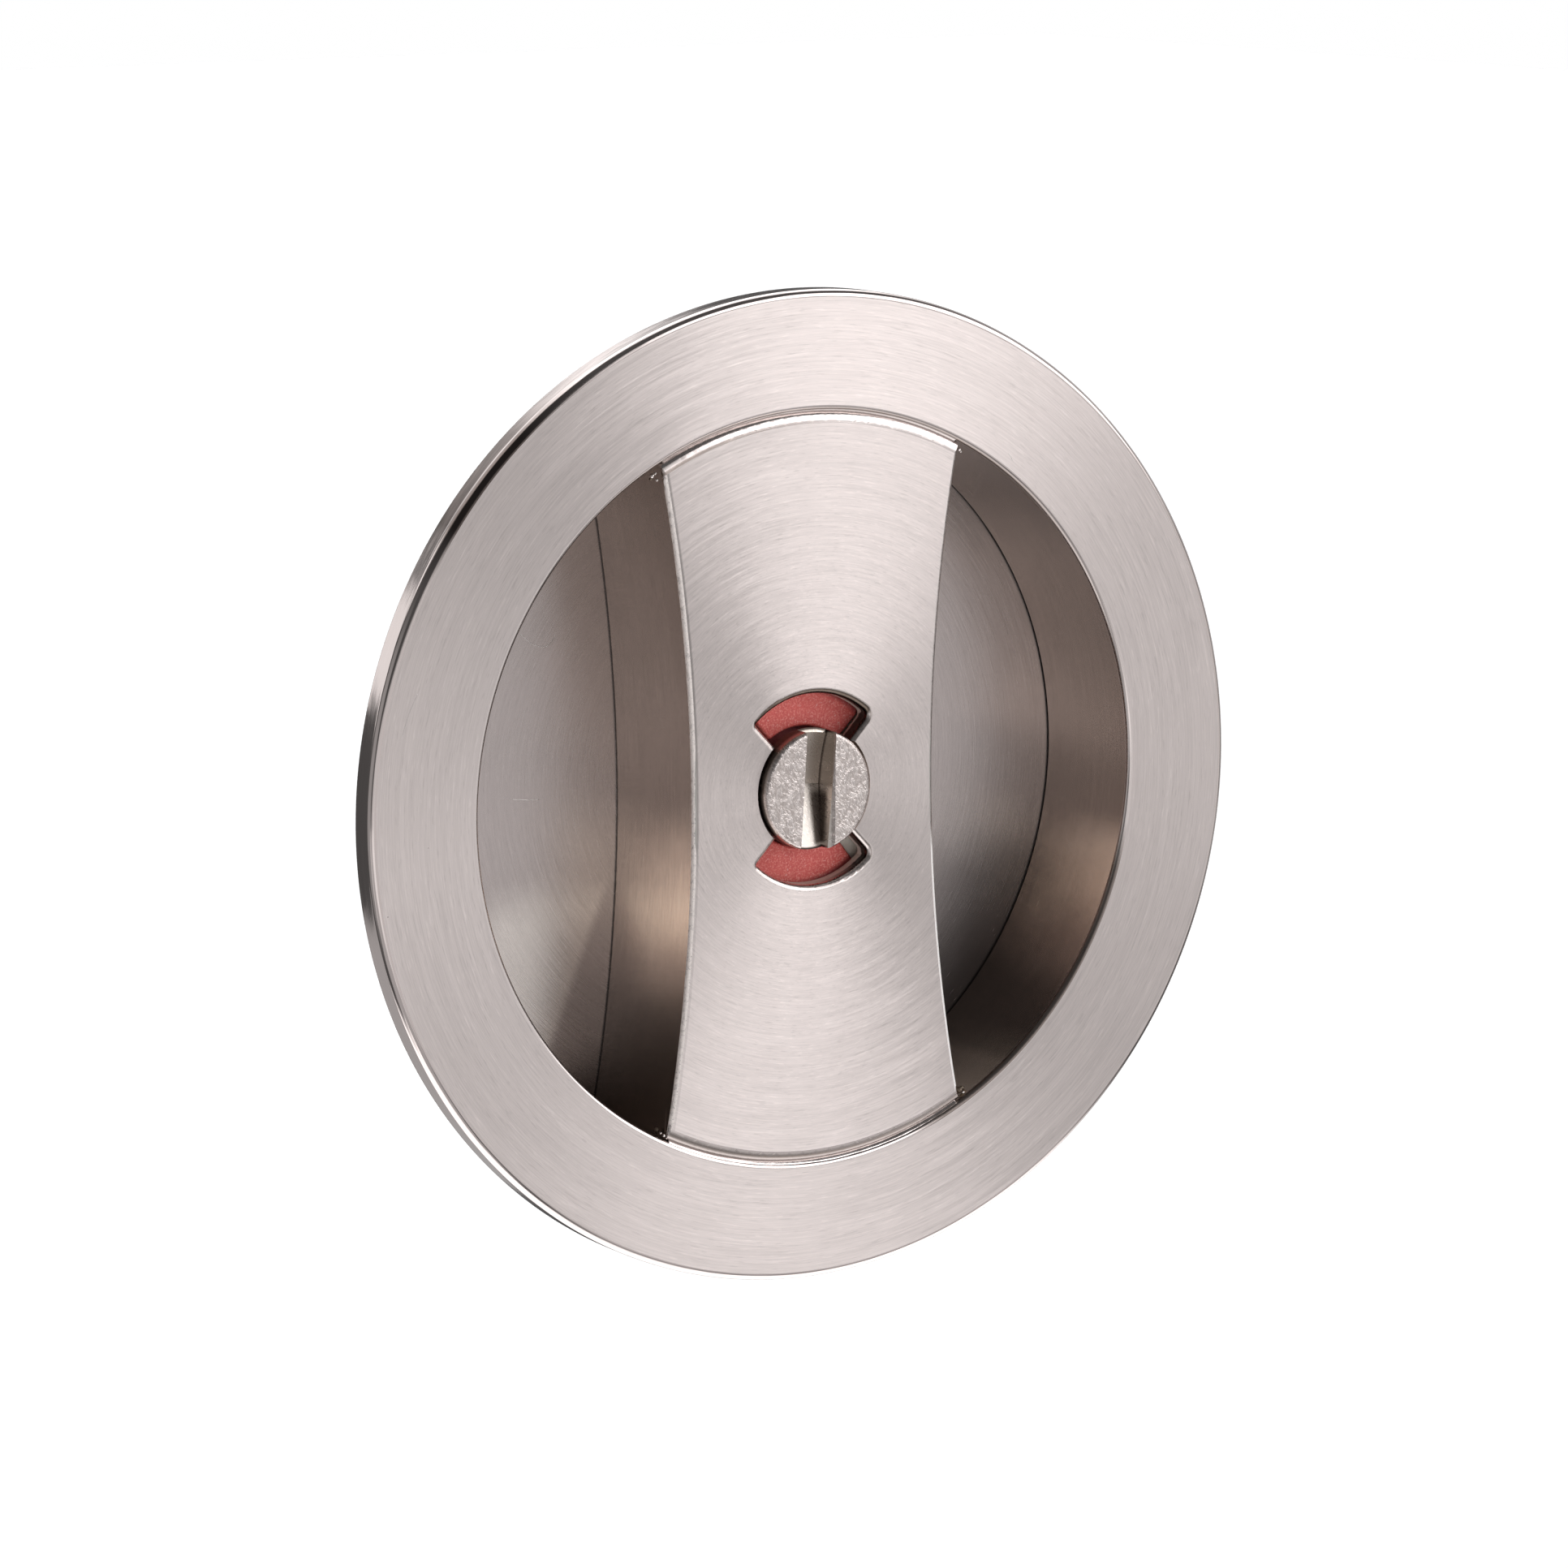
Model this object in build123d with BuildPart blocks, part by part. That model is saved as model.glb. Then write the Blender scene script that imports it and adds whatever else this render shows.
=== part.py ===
from build123d import *
import math
import os

# Flush pull and emergency-release trim of a pocket-door privacy lock.
# Frame: the door's surface is the plane y = 0, the trim looks toward -Y,
# everything let into the door lies on +Y, and +Z is up.
# "depth" is measured from the front face of the ring, back into the door.

# ---------------------------------------------------------------- dimensions
RING_R = 33.35            # outer radius of the ring, 2-5/8 in across
RING_T = 2.0              # how far the ring stands off the door
RING_EDGE_R = 0.5         # rounded outer edge of the ring
CUP_R = 25.35             # inner radius of the cup just below the face
CUP_EDGE_R = 0.36         # rounded inner edge of the ring
CUP_DEPTH = 9.6           # ring face to cup floor
DRAFT = 2.0               # draft of the cast walls, degrees
BARREL_R = 26.7           # outside of the cup, for a 54 mm cross bore
FLOOR_R = 25.9            # seat of the floor plate in the barrel
FLOOR_T = 1.4             # floor plate thickness
LIP_T = 0.4               # rolled lip behind the floor plate
LIP_R = 25.3              # bore of the rolled lip
FIT = 0.02                # clearance between seated pieces

BRIDGE_W = 9.345          # half width of the bridge at its waist, at the face
BRIDGE_SIDE_R = 117.9     # radius of the hollow sides of the bridge
BRIDGE_END_R = 25.32      # radius of the rounded ends of the bridge
BRIDGE_END_W = 0.80       # width of the polished round along each end
BRIDGE_END_D = 0.50       # and how far it falls back
BRIDGE_SIDE_EDGE = 0.26   # rounded edge along each side
BRIDGE_WALL = 1.7         # wall of the hollow bridge
BRIDGE_FOOT_R = 24.98     # ends of the bridge at the cup floor

HOLE_R = 4.27             # clearance hole around the coin turn
HOLE_EDGE = 0.12          # small bevel at its front edge
WINDOW_R = 6.45           # outer radius of the two windows
WINDOW_HALF = 43.2        # half angle of each window, degrees
WINDOW_RIGHT_R = 0.45     # corner radius at the right end of each window
WINDOW_LEFT_R = 0.12      # and at the left end
WINDOW_EDGE = 0.43        # broad round along the front edge of the windows
WINDOW_T = 1.4            # face thickness at the windows
CAVITY_R = 7.5            # round chamber for the indicator
SHOULDER = 5.0            # depth of the seat of the bearing plate
STOP_R = 6.95             # inner radius of the stop lug
STOP_HALF = 5.0           # half width of the stop lug, degrees
TURN_TRAVEL = 90.0        # travel of the turn, degrees

TILT = 3.8                # how far the turn stands clockwise of upright
HEAD_R = 4.1              # coin turn head
HEAD_PROUD = 0.6          # how far the head stands out of the face
HEAD_BACK = 0.9           # depth of the underside of the head, at its rim
NECK_R = 3.4              # the underside slopes to the neck, so the coin
NECK_DEPTH = 1.3          # slot keeps metal under its hollow floor
NECK_END = 1.6
HEAD_EDGE = 0.35
SHANK_R = 2.9
SHANK_FLAT = 2.4          # half distance across the two flats
SHANK_END = 13.0          # depth of the end of the shank
SLOT_DEPTH = 1.87         # coin slot at its deepest, from the head's face
SLOT_LOW = 0.25           # height of its deepest place
SLOT_RIM = 1.12           # coin slot depth where it runs out at the rim
SLOT_HALF = 1.14          # half width of the coin slot
SLOT_BEVEL = 0.42         # bevel on its right edge, at the bottom
SLOT_LIP = 0.3            # bevelled lip where its floor runs out at the top
SLOT_LIP_TILT = 18.0      # degrees

FLAG_FACE = 1.7           # depth of the painted face of the flag
FLAG_SEAT = 2.1           # its two wings lie on the disc at this depth
FLAG_HUB = 2.4            # depth of the sunk ring round the coin turn
FLAG_HUB_R = 4.4          # hub of the flag, let into the disc
FLAG_IN_R = 4.05
FLAG_OUT_R = 6.9
FLAG_HALF = 41.2          # half angle of each wing, degrees
FLAG_EDGE = 0.25          # rounded edge of the painted wings
FLAG_BACK = 2.9
DISC_R = 7.35
DISC_NOTCH_R = 6.9
DISC_BACK = 3.8
FLANGE_R = 5.0
FLANGE_FRONT = 4.4
BUSH_R = 4.2
BUSH_BORE = 2.95
BUSH_BACK = 7.4
PLATE_BACK = 6.8
PLATE_W = 14.4
PLATE_L = 25.0
SCREW_Z = 10.2            # bearing plate screws
SCREW_R = 1.25
SCREW_HEAD_R = 2.2

POST_Z = 18.5             # through-bolt posts
POST_R = 3.5
POST_STUD_R = 2.0
POST_TAP_R = 1.65
POST_END = 23.0           # depth of the end of the posts
WASHER_T = 0.8

BLADE_T = 1.5             # tailpiece section
BLADE_W = 4.5
BLADE_START = 8.6
BLADE_END = 32.0
PIN_R = 0.6
PIN_DEPTH = 12.0


def level(depth):
    """Sketch plane at a depth behind the ring's face, looking at -Y."""
    return Plane.XZ.offset(RING_T - depth)


def turn_level(depth):
    """The same plane, turned with the coin turn."""
    a = math.radians(TILT)
    return Plane(
        origin=(0, depth - RING_T, 0),
        x_dir=(math.cos(a), 0, -math.sin(a)),
        z_dir=(0, -1, 0),
    )


def turn_side(y=0.0):
    """Plane across the coin slot: local x runs back, local y runs up."""
    a = math.radians(TILT)
    return Plane(
        origin=(0, y, 0), x_dir=(0, 1, 0), z_dir=(math.cos(a), 0, -math.sin(a))
    )


def turn_section(height):
    """Level section of the turn: local x runs right, local y runs back."""
    a = math.radians(TILT)
    return Plane(
        origin=(height * math.sin(a), 0, height * math.cos(a)),
        x_dir=(math.cos(a), 0, -math.sin(a)),
        z_dir=(math.sin(a), 0, math.cos(a)),
    )


def y_at(depth):
    return depth - RING_T


def side_x(z, inset=0.0):
    """Half width of the bridge at height z."""
    r = BRIDGE_SIDE_R + inset
    return BRIDGE_W - inset + r - math.sqrt(r * r - z * z)


def polar(radius, degrees):
    a = math.radians(degrees)
    return (radius * math.cos(a), radius * math.sin(a))


os.makedirs("parts", exist_ok=True)

# ---------------------------------------------------------------- rose ring
# Flat ring and cup wall, one turned casting.
wall_back = CUP_R - math.tan(math.radians(DRAFT)) * (CUP_DEPTH - CUP_EDGE_R)
with BuildPart() as rose_ring:
    with BuildSketch(Plane.XY):
        with BuildLine():
            Polyline(
                (RING_R - RING_EDGE_R, -RING_T),
                (CUP_R + CUP_EDGE_R, -RING_T),
            )
            RadiusArc(
                (CUP_R + CUP_EDGE_R, -RING_T),
                (CUP_R, -RING_T + CUP_EDGE_R),
                CUP_EDGE_R,
            )
            Polyline(
                (CUP_R, -RING_T + CUP_EDGE_R),
                (wall_back, y_at(CUP_DEPTH)),
                (FLOOR_R, y_at(CUP_DEPTH)),
                (FLOOR_R, y_at(CUP_DEPTH + FLOOR_T)),
                (LIP_R, y_at(CUP_DEPTH + FLOOR_T)),
                (LIP_R, y_at(CUP_DEPTH + FLOOR_T + LIP_T)),
                (BARREL_R - 0.3, y_at(CUP_DEPTH + FLOOR_T + LIP_T)),
                (BARREL_R, y_at(CUP_DEPTH + FLOOR_T + LIP_T) - 0.3),
                (BARREL_R, 0),
                (RING_R, 0),
                (RING_R, -RING_T + RING_EDGE_R),
            )
            RadiusArc(
                (RING_R, -RING_T + RING_EDGE_R),
                (RING_R - RING_EDGE_R, -RING_T),
                RING_EDGE_R,
            )
        make_face()
    revolve(axis=Axis.Y)
rose_ring.part.label = "rose_ring"
export_step(rose_ring.part, "parts/rose_ring.step")

# ---------------------------------------------------------------- cup floor
with BuildPart() as cup_floor:
    with BuildSketch(level(CUP_DEPTH)):
        Circle(FLOOR_R - FIT)
        Circle(5.2, mode=Mode.SUBTRACT)
        with Locations((0, POST_Z), (0, -POST_Z)):
            Circle(POST_STUD_R + 0.1, mode=Mode.SUBTRACT)
    extrude(amount=-FLOOR_T)
cup_floor.part.label = "cup_floor"
export_step(cup_floor.part, "parts/cup_floor.step")

# ---------------------------------------------------------------- bridge
TALL = 30.0
floor_growth = math.tan(math.radians(DRAFT)) * CUP_DEPTH
with BuildPart() as bridge:
    # Waisted block, wider toward the floor by its draft.
    with BuildSketch(level(CUP_DEPTH)):
        with BuildLine():
            g = floor_growth
            ThreePointArc(
                (-side_x(TALL, -g), -TALL), (-side_x(0, -g), 0), (-side_x(TALL, -g), TALL)
            )
            Line((-side_x(TALL, -g), TALL), (side_x(TALL, -g), TALL))
            ThreePointArc(
                (side_x(TALL, -g), TALL), (side_x(0, -g), 0), (side_x(TALL, -g), -TALL)
            )
            Line((side_x(TALL, -g), -TALL), (-side_x(TALL, -g), -TALL))
        make_face()
    extrude(amount=CUP_DEPTH, taper=DRAFT)
    front = bridge.faces().sort_by(Axis.Y)[0]
    fillet(front.edges().filter_by(GeomType.CIRCLE), radius=BRIDGE_SIDE_EDGE)
    # Ends turned to a circle just inside the ring, with their own rounded edge.
    with BuildSketch(Plane.XY):
        with BuildLine():
            Line((0, -RING_T), (BRIDGE_END_R - BRIDGE_END_W, -RING_T))
            EllipticalCenterArc(
                (BRIDGE_END_R - BRIDGE_END_W, -RING_T + BRIDGE_END_D),
                BRIDGE_END_W,
                BRIDGE_END_D,
                start_angle=270,
                arc_size=90,
            )
            Polyline(
                (BRIDGE_END_R, -RING_T + BRIDGE_END_D),
                (BRIDGE_END_R - 0.055, 0.0),
                (BRIDGE_FOOT_R, y_at(CUP_DEPTH)),
                (0, y_at(CUP_DEPTH)),
                (0, -RING_T),
            )
        make_face()
    revolve(axis=Axis.Y, mode=Mode.INTERSECT)
    # Hollow from behind, leaving the bosses of the two posts.
    with BuildSketch(level(CUP_DEPTH)):
        with BuildLine():
            i = BRIDGE_WALL
            ThreePointArc(
                (-side_x(TALL, i), -TALL), (-side_x(0, i), 0), (-side_x(TALL, i), TALL)
            )
            Line((-side_x(TALL, i), TALL), (side_x(TALL, i), TALL))
            ThreePointArc(
                (side_x(TALL, i), TALL), (side_x(0, i), 0), (side_x(TALL, i), -TALL)
            )
            Line((side_x(TALL, i), -TALL), (-side_x(TALL, i), -TALL))
        make_face()
        Circle(23.1, mode=Mode.INTERSECT)
        with Locations((0, POST_Z), (0, -POST_Z)):
            Circle(3.9, mode=Mode.SUBTRACT)
    extrude(amount=CUP_DEPTH - SHOULDER, mode=Mode.SUBTRACT)
    # Deeper pockets above and below the bearing plate.
    with BuildSketch(level(SHOULDER)):
        with BuildLine():
            ThreePointArc(
                (-side_x(TALL, i), -TALL), (-side_x(0, i), 0), (-side_x(TALL, i), TALL)
            )
            Line((-side_x(TALL, i), TALL), (side_x(TALL, i), TALL))
            ThreePointArc(
                (side_x(TALL, i), TALL), (side_x(0, i), 0), (side_x(TALL, i), -TALL)
            )
            Line((side_x(TALL, i), -TALL), (-side_x(TALL, i), -TALL))
        make_face()
        Circle(23.1, mode=Mode.INTERSECT)
        Rectangle(40, 26.6, mode=Mode.SUBTRACT)
        with Locations((0, POST_Z), (0, -POST_Z)):
            Circle(3.9, mode=Mode.SUBTRACT)
    extrude(amount=SHOULDER - BRIDGE_WALL, mode=Mode.SUBTRACT)
    # Chamber of the indicator, with the lug that stops the disc.
    with BuildSketch(level(SHOULDER)):
        Circle(CAVITY_R)
        with BuildLine():
            CenterArc((0, 0), STOP_R, 180 - STOP_HALF, 2 * STOP_HALF)
            Line(polar(STOP_R, 180 + STOP_HALF), polar(CAVITY_R + 0.5, 180 + STOP_HALF))
            CenterArc((0, 0), CAVITY_R + 0.5, 180 - STOP_HALF, 2 * STOP_HALF)
            Line(polar(CAVITY_R + 0.5, 180 - STOP_HALF), polar(STOP_R, 180 - STOP_HALF))
        make_face(mode=Mode.SUBTRACT)
    extrude(amount=SHOULDER - WINDOW_T, mode=Mode.SUBTRACT)
    # The lug is only as tall as the disc needs.
    with BuildSketch(level(SHOULDER)):
        Circle(CAVITY_R)
    extrude(amount=SHOULDER - 4.0, mode=Mode.SUBTRACT)
    # Two fan windows that run into the round hole of the coin turn. Their right
    # corners are rounder than their left ones.
    with BuildSketch(level(WINDOW_T)) as windows:
        for middle in (90, 270):
            with BuildLine():
                a0 = middle - WINDOW_HALF
                a1 = middle + WINDOW_HALF
                CenterArc((0, 0), WINDOW_R, a0, a1 - a0)
                Line(polar(WINDOW_R, a1), polar(2.0, a1))
                Line(polar(2.0, a1), polar(2.0, a0))
                Line(polar(2.0, a0), polar(WINDOW_R, a0))
            make_face()
        Circle(HOLE_R)
        for side, radius in ((1, WINDOW_RIGHT_R), (-1, WINDOW_LEFT_R)):
            corners = [
                v
                for v in windows.vertices()
                if math.hypot(v.X, v.Y) > WINDOW_R - 0.05
                and v.X * side > 0
                and abs(abs(math.degrees(math.atan2(v.Y, v.X))) - 90) > WINDOW_HALF - 1
            ]
            fillet(corners, radius=radius)
    extrude(amount=WINDOW_T, mode=Mode.SUBTRACT)
    rim = [
        e
        for e in bridge.faces().sort_by(Axis.Y)[0].inner_wires()[0].edges()
        if math.hypot((e @ 0.5).X, (e @ 0.5).Z) > HOLE_R + 0.1
    ]
    fillet(rim, radius=WINDOW_EDGE)
    with BuildSketch(Plane.XY):
        with BuildLine():
            Polyline(
                (HOLE_R - 0.1, -RING_T - 0.1),
                (HOLE_R + HOLE_EDGE + 0.1, -RING_T - 0.1),
                (HOLE_R - 0.1, -RING_T + HOLE_EDGE + 0.1),
                close=True,
            )
        make_face()
    revolve(axis=Axis.Y, mode=Mode.SUBTRACT)
    # Tapped holes: posts, then bearing plate screws.
    with BuildSketch(level(CUP_DEPTH)):
        with Locations((0, POST_Z), (0, -POST_Z)):
            Circle(POST_STUD_R)
    extrude(amount=CUP_DEPTH - 3.0, mode=Mode.SUBTRACT)
    with BuildSketch(level(SHOULDER)):
        with Locations((0, SCREW_Z), (0, -SCREW_Z)):
            Circle(SCREW_R)
    extrude(amount=SHOULDER - 2.2, mode=Mode.SUBTRACT)
bridge.part.label = "bridge"
export_step(bridge.part, "parts/bridge.step")

# ---------------------------------------------------------------- coin turn
# Coin slot: its floor is hollow above the middle and a plain ramp below.
front_y = y_at(-HEAD_PROUD)
slot_floor = front_y + SLOT_DEPTH
slot_sag = SLOT_DEPTH - SLOT_RIM
slot_up = HEAD_R - SLOT_LOW
slot_r = (slot_up**2 + slot_sag**2) / (2 * slot_sag)
ramp_end = slot_floor - slot_sag * (6 + SLOT_LOW) / (HEAD_R + SLOT_LOW)


def hollow(height):
    return slot_floor - slot_r + math.sqrt(slot_r**2 - (height - SLOT_LOW) ** 2)


with BuildPart() as slot_lip:
    with BuildSketch(turn_side()):
        with BuildLine():
            lip_r = HEAD_R - SLOT_LIP
            lip_drop = (SLOT_LIP + 0.2) * math.tan(math.radians(SLOT_LIP_TILT))
            Polyline(
                (hollow(lip_r), lip_r),
                (hollow(lip_r) + lip_drop, HEAD_R + 0.2),
                (-4, HEAD_R + 0.2),
                (-4, lip_r),
                close=True,
            )
        make_face()
    revolve(axis=Axis.Y)
    with BuildSketch(turn_side()):
        with Locations((-1, 3)):
            Rectangle(8, 6)
    extrude(amount=SLOT_HALF, both=True, mode=Mode.INTERSECT)

with BuildPart() as coin_turn:
    with BuildSketch(Plane.XY):
        with BuildLine():
            Polyline((0, y_at(-HEAD_PROUD)), (HEAD_R - HEAD_EDGE, y_at(-HEAD_PROUD)))
            RadiusArc(
                (HEAD_R - HEAD_EDGE, y_at(-HEAD_PROUD)),
                (HEAD_R, y_at(-HEAD_PROUD) + HEAD_EDGE),
                -HEAD_EDGE,
            )
            Polyline(
                (HEAD_R, y_at(-HEAD_PROUD) + HEAD_EDGE),
                (HEAD_R, y_at(HEAD_BACK)),
                (NECK_R, y_at(NECK_DEPTH)),
                (SHANK_R, y_at(NECK_END)),
                (SHANK_R, y_at(7.4)),
                (2.2, y_at(7.4)),
                (2.2, y_at(8.06)),
                (SHANK_R, y_at(8.06)),
                (SHANK_R, y_at(SHANK_END - 0.3)),
                (SHANK_R - 0.3, y_at(SHANK_END)),
                (0, y_at(SHANK_END)),
                (0, y_at(-HEAD_PROUD)),
            )
        make_face()
    revolve(axis=Axis.Y)
    # Two flats along the shank drive the flag and the disc.
    with BuildSketch(turn_level(FLAG_HUB - 0.4)):
        with Locations((SHANK_FLAT + 2, 0), (-SHANK_FLAT - 2, 0)):
            Rectangle(4, 10)
    extrude(amount=-(SHANK_END - FLAG_HUB + 1.4), mode=Mode.SUBTRACT)
    # Blade slot in the end of the shank, and the hole of its cross pin.
    with BuildSketch(turn_level(SHANK_END)):
        Rectangle(BLADE_T + 0.1, BLADE_W + 0.1)
    extrude(amount=SHANK_END - BLADE_START, mode=Mode.SUBTRACT)
    pin_plane = turn_side(y_at(PIN_DEPTH))
    with BuildSketch(pin_plane):
        Circle(PIN_R)
    extrude(amount=5, both=True, mode=Mode.SUBTRACT)
    # The coin slot, with its lip at the top.
    with BuildSketch(turn_side()):
        with BuildLine():
            ThreePointArc((slot_floor, SLOT_LOW), (hollow(3), 3), (hollow(6), 6))
            Polyline(
                (hollow(6), 6), (-6, 6), (-6, -6), (ramp_end, -6), (slot_floor, SLOT_LOW)
            )
        make_face()
    extrude(amount=SLOT_HALF, both=True, mode=Mode.SUBTRACT)
    add(slot_lip.part, mode=Mode.SUBTRACT)
    # Bevel on its right edge, wider toward the bottom.
    for height, width in ((2.4, 0.02), (-4.8, SLOT_BEVEL)):
        with BuildSketch(turn_section(height)):
            with BuildLine():
                Polyline(
                    (SLOT_HALF - 0.03, front_y - 0.05),
                    (SLOT_HALF + width + 0.05, front_y - 0.05),
                    (SLOT_HALF - 0.03, front_y + width + 0.03),
                    close=True,
                )
            make_face()
    loft(mode=Mode.SUBTRACT)
coin_turn.part.label = "coin_turn"
export_step(coin_turn.part, "parts/coin_turn.step")

# ---------------------------------------------------------------- indicator flag
# Two raised wings on a sunk hub, the hub let into the disc behind.
with BuildPart() as indicator_flag:
    with BuildSketch(turn_level(FLAG_SEAT)) as wings:
        for middle in (90, 270):
            with BuildLine():
                a0 = middle - FLAG_HALF
                a1 = middle + FLAG_HALF
                CenterArc((0, 0), FLAG_OUT_R, a0, a1 - a0)
                Line(polar(FLAG_OUT_R, a1), polar(FLAG_IN_R, a1))
                CenterArc((0, 0), FLAG_IN_R, a0, a1 - a0)
                Line(polar(FLAG_IN_R, a0), polar(FLAG_OUT_R, a0))
            make_face()
        fillet(wings.vertices(), radius=0.3)
    extrude(amount=FLAG_SEAT - FLAG_FACE)
    tops = indicator_flag.faces().sort_by(Axis.Y)[:2]
    fillet([e for f in tops for e in f.edges()], radius=FLAG_EDGE)
    with BuildSketch(turn_level(FLAG_BACK)):
        Circle(FLAG_HUB_R)
    extrude(amount=FLAG_BACK - FLAG_SEAT)
    with BuildSketch(turn_level(FLAG_HUB)):
        Circle(FLAG_IN_R)
    extrude(amount=FLAG_HUB, mode=Mode.SUBTRACT)
    with BuildSketch(turn_level(FLAG_BACK)):
        Circle(SHANK_R + FIT)
        Rectangle(2 * (SHANK_FLAT + FIT), 10, mode=Mode.INTERSECT)
    extrude(amount=FLAG_BACK, mode=Mode.SUBTRACT)
indicator_flag.part.label = "indicator_flag"
export_step(indicator_flag.part, "parts/indicator_flag.step")

# ---------------------------------------------------------------- indicator disc
with BuildPart() as indicator_disc:
    with BuildSketch(turn_level(DISC_BACK)):
        Circle(DISC_R)
        # Long notch in the rim: the lug of the bridge stops it at either end.
        with BuildLine():
            n0 = 180 + TILT - TURN_TRAVEL - STOP_HALF - 0.4
            n1 = 180 + TILT + STOP_HALF + 0.4
            CenterArc((0, 0), DISC_NOTCH_R, n0, n1 - n0)
            Line(polar(DISC_NOTCH_R, n1), polar(DISC_R + 1, n1))
            CenterArc((0, 0), DISC_R + 1, n0, n1 - n0)
            Line(polar(DISC_R + 1, n0), polar(DISC_NOTCH_R, n0))
        make_face(mode=Mode.SUBTRACT)
    extrude(amount=DISC_BACK - FLAG_SEAT)
    # Seat of the flag's hub.
    with BuildSketch(turn_level(FLAG_BACK)):
        Circle(FLAG_HUB_R + FIT)
    extrude(amount=1.5, mode=Mode.SUBTRACT)
    with BuildSketch(turn_level(DISC_BACK)):
        Circle(SHANK_R + FIT)
        Rectangle(2 * (SHANK_FLAT + FIT), 10, mode=Mode.INTERSECT)
    extrude(amount=2, mode=Mode.SUBTRACT)
indicator_disc.part.label = "indicator_disc"
export_step(indicator_disc.part, "parts/indicator_disc.step")

# ---------------------------------------------------------------- wave washer
# A bowed spring washer, touching the disc along its middle and the bushing's
# flange at its two sides.
bow_front = y_at(DISC_BACK) + 0.01
bow_back = y_at(FLANGE_FRONT) - 0.01
bow_t = 0.2
with BuildPart() as wave_washer:
    with BuildSketch(level(FLANGE_FRONT + 0.2)):
        Circle(4.8)
        Circle(3.1, mode=Mode.SUBTRACT)
    extrude(amount=1.2)
    with BuildSketch(Plane.XY.offset(-6)):
        with BuildLine():
            ThreePointArc((-5, bow_back - bow_t), (0, bow_front), (5, bow_back - bow_t))
            Line((5, bow_back - bow_t), (5, bow_back))
            ThreePointArc((5, bow_back), (0, bow_front + bow_t), (-5, bow_back))
            Line((-5, bow_back), (-5, bow_back - bow_t))
        make_face()
    extrude(amount=12, mode=Mode.INTERSECT)
wave_washer.part.label = "wave_washer"
export_step(wave_washer.part, "parts/wave_washer.step")

# ---------------------------------------------------------------- turn bushing
with BuildPart() as turn_bushing:
    with BuildSketch(level(SHOULDER)):
        Circle(FLANGE_R)
    extrude(amount=SHOULDER - FLANGE_FRONT)
    with BuildSketch(level(BUSH_BACK)):
        Circle(BUSH_R)
    extrude(amount=BUSH_BACK - SHOULDER)
    with BuildSketch(level(BUSH_BACK)):
        Circle(BUSH_BORE)
    extrude(amount=6, mode=Mode.SUBTRACT)
turn_bushing.part.label = "turn_bushing"
export_step(turn_bushing.part, "parts/turn_bushing.step")

# ---------------------------------------------------------------- bearing plate
with BuildPart() as bearing_plate:
    with BuildSketch(level(SHOULDER)):
        RectangleRounded(PLATE_W, PLATE_L, 2.5)
        Circle(BUSH_R, mode=Mode.SUBTRACT)
        with Locations((0, SCREW_Z), (0, -SCREW_Z)):
            Circle(SCREW_R + 0.1, mode=Mode.SUBTRACT)
    extrude(amount=-(PLATE_BACK - SHOULDER))
bearing_plate.part.label = "bearing_plate"
export_step(bearing_plate.part, "parts/bearing_plate.step")

# ---------------------------------------------------------------- bearing screws
with BuildPart() as bearing_screws:
    for z in (SCREW_Z, -SCREW_Z):
        with BuildSketch(level(PLATE_BACK)):
            with Locations((0, z)):
                Circle(SCREW_HEAD_R)
        extrude(amount=-1.4)
        with BuildSketch(level(PLATE_BACK)):
            with Locations((0, z)):
                Circle(SCREW_R)
        extrude(amount=PLATE_BACK - 2.5)
    heads = bearing_screws.faces().sort_by(Axis.Y)[-2:]
    fillet([e for f in heads for e in f.edges()], radius=0.5)
    # Cross recess of each head.
    with BuildSketch(level(PLATE_BACK + 1.4)):
        for z in (SCREW_Z, -SCREW_Z):
            with Locations((0, z)):
                Rectangle(2.4, 0.55)
                Rectangle(0.55, 2.4)
    extrude(amount=0.9, mode=Mode.SUBTRACT)
bearing_screws.part.label = "bearing_screws"
export_step(bearing_screws.part, "parts/bearing_screws.step")

# ---------------------------------------------------------------- retaining clip
with BuildPart() as retaining_clip:
    with BuildSketch(turn_level(BUSH_BACK + 0.03)):
        Circle(4.4)
        Circle(2.22, mode=Mode.SUBTRACT)
        with BuildLine():
            Polyline((0, 0), (-3.2, -6), (3.2, -6), close=True)
        make_face(mode=Mode.SUBTRACT)
    extrude(amount=-0.6)
retaining_clip.part.label = "retaining_clip"
export_step(retaining_clip.part, "parts/retaining_clip.step")

# ---------------------------------------------------------------- tailpiece
with BuildPart() as tailpiece:
    with BuildSketch(turn_level(BLADE_START)):
        Rectangle(BLADE_T, BLADE_W)
    extrude(amount=-(BLADE_END - BLADE_START))
    tip = tailpiece.faces().sort_by(Axis.Y)[-1]
    chamfer(tip.edges().sort_by(SortBy.LENGTH)[:2], length=0.9, length2=2.0)
    with BuildSketch(pin_plane):
        Circle(PIN_R)
    extrude(amount=5, both=True, mode=Mode.SUBTRACT)
tailpiece.part.label = "tailpiece"
export_step(tailpiece.part, "parts/tailpiece.step")

# ---------------------------------------------------------------- tailpiece pin
with BuildPart() as tailpiece_pin:
    with BuildSketch(pin_plane):
        Circle(PIN_R)
    extrude(amount=2.45, both=True)
    chamfer(tailpiece_pin.edges().filter_by(GeomType.CIRCLE), length=0.12)
tailpiece_pin.part.label = "tailpiece_pin"
export_step(tailpiece_pin.part, "parts/tailpiece_pin.step")

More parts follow.
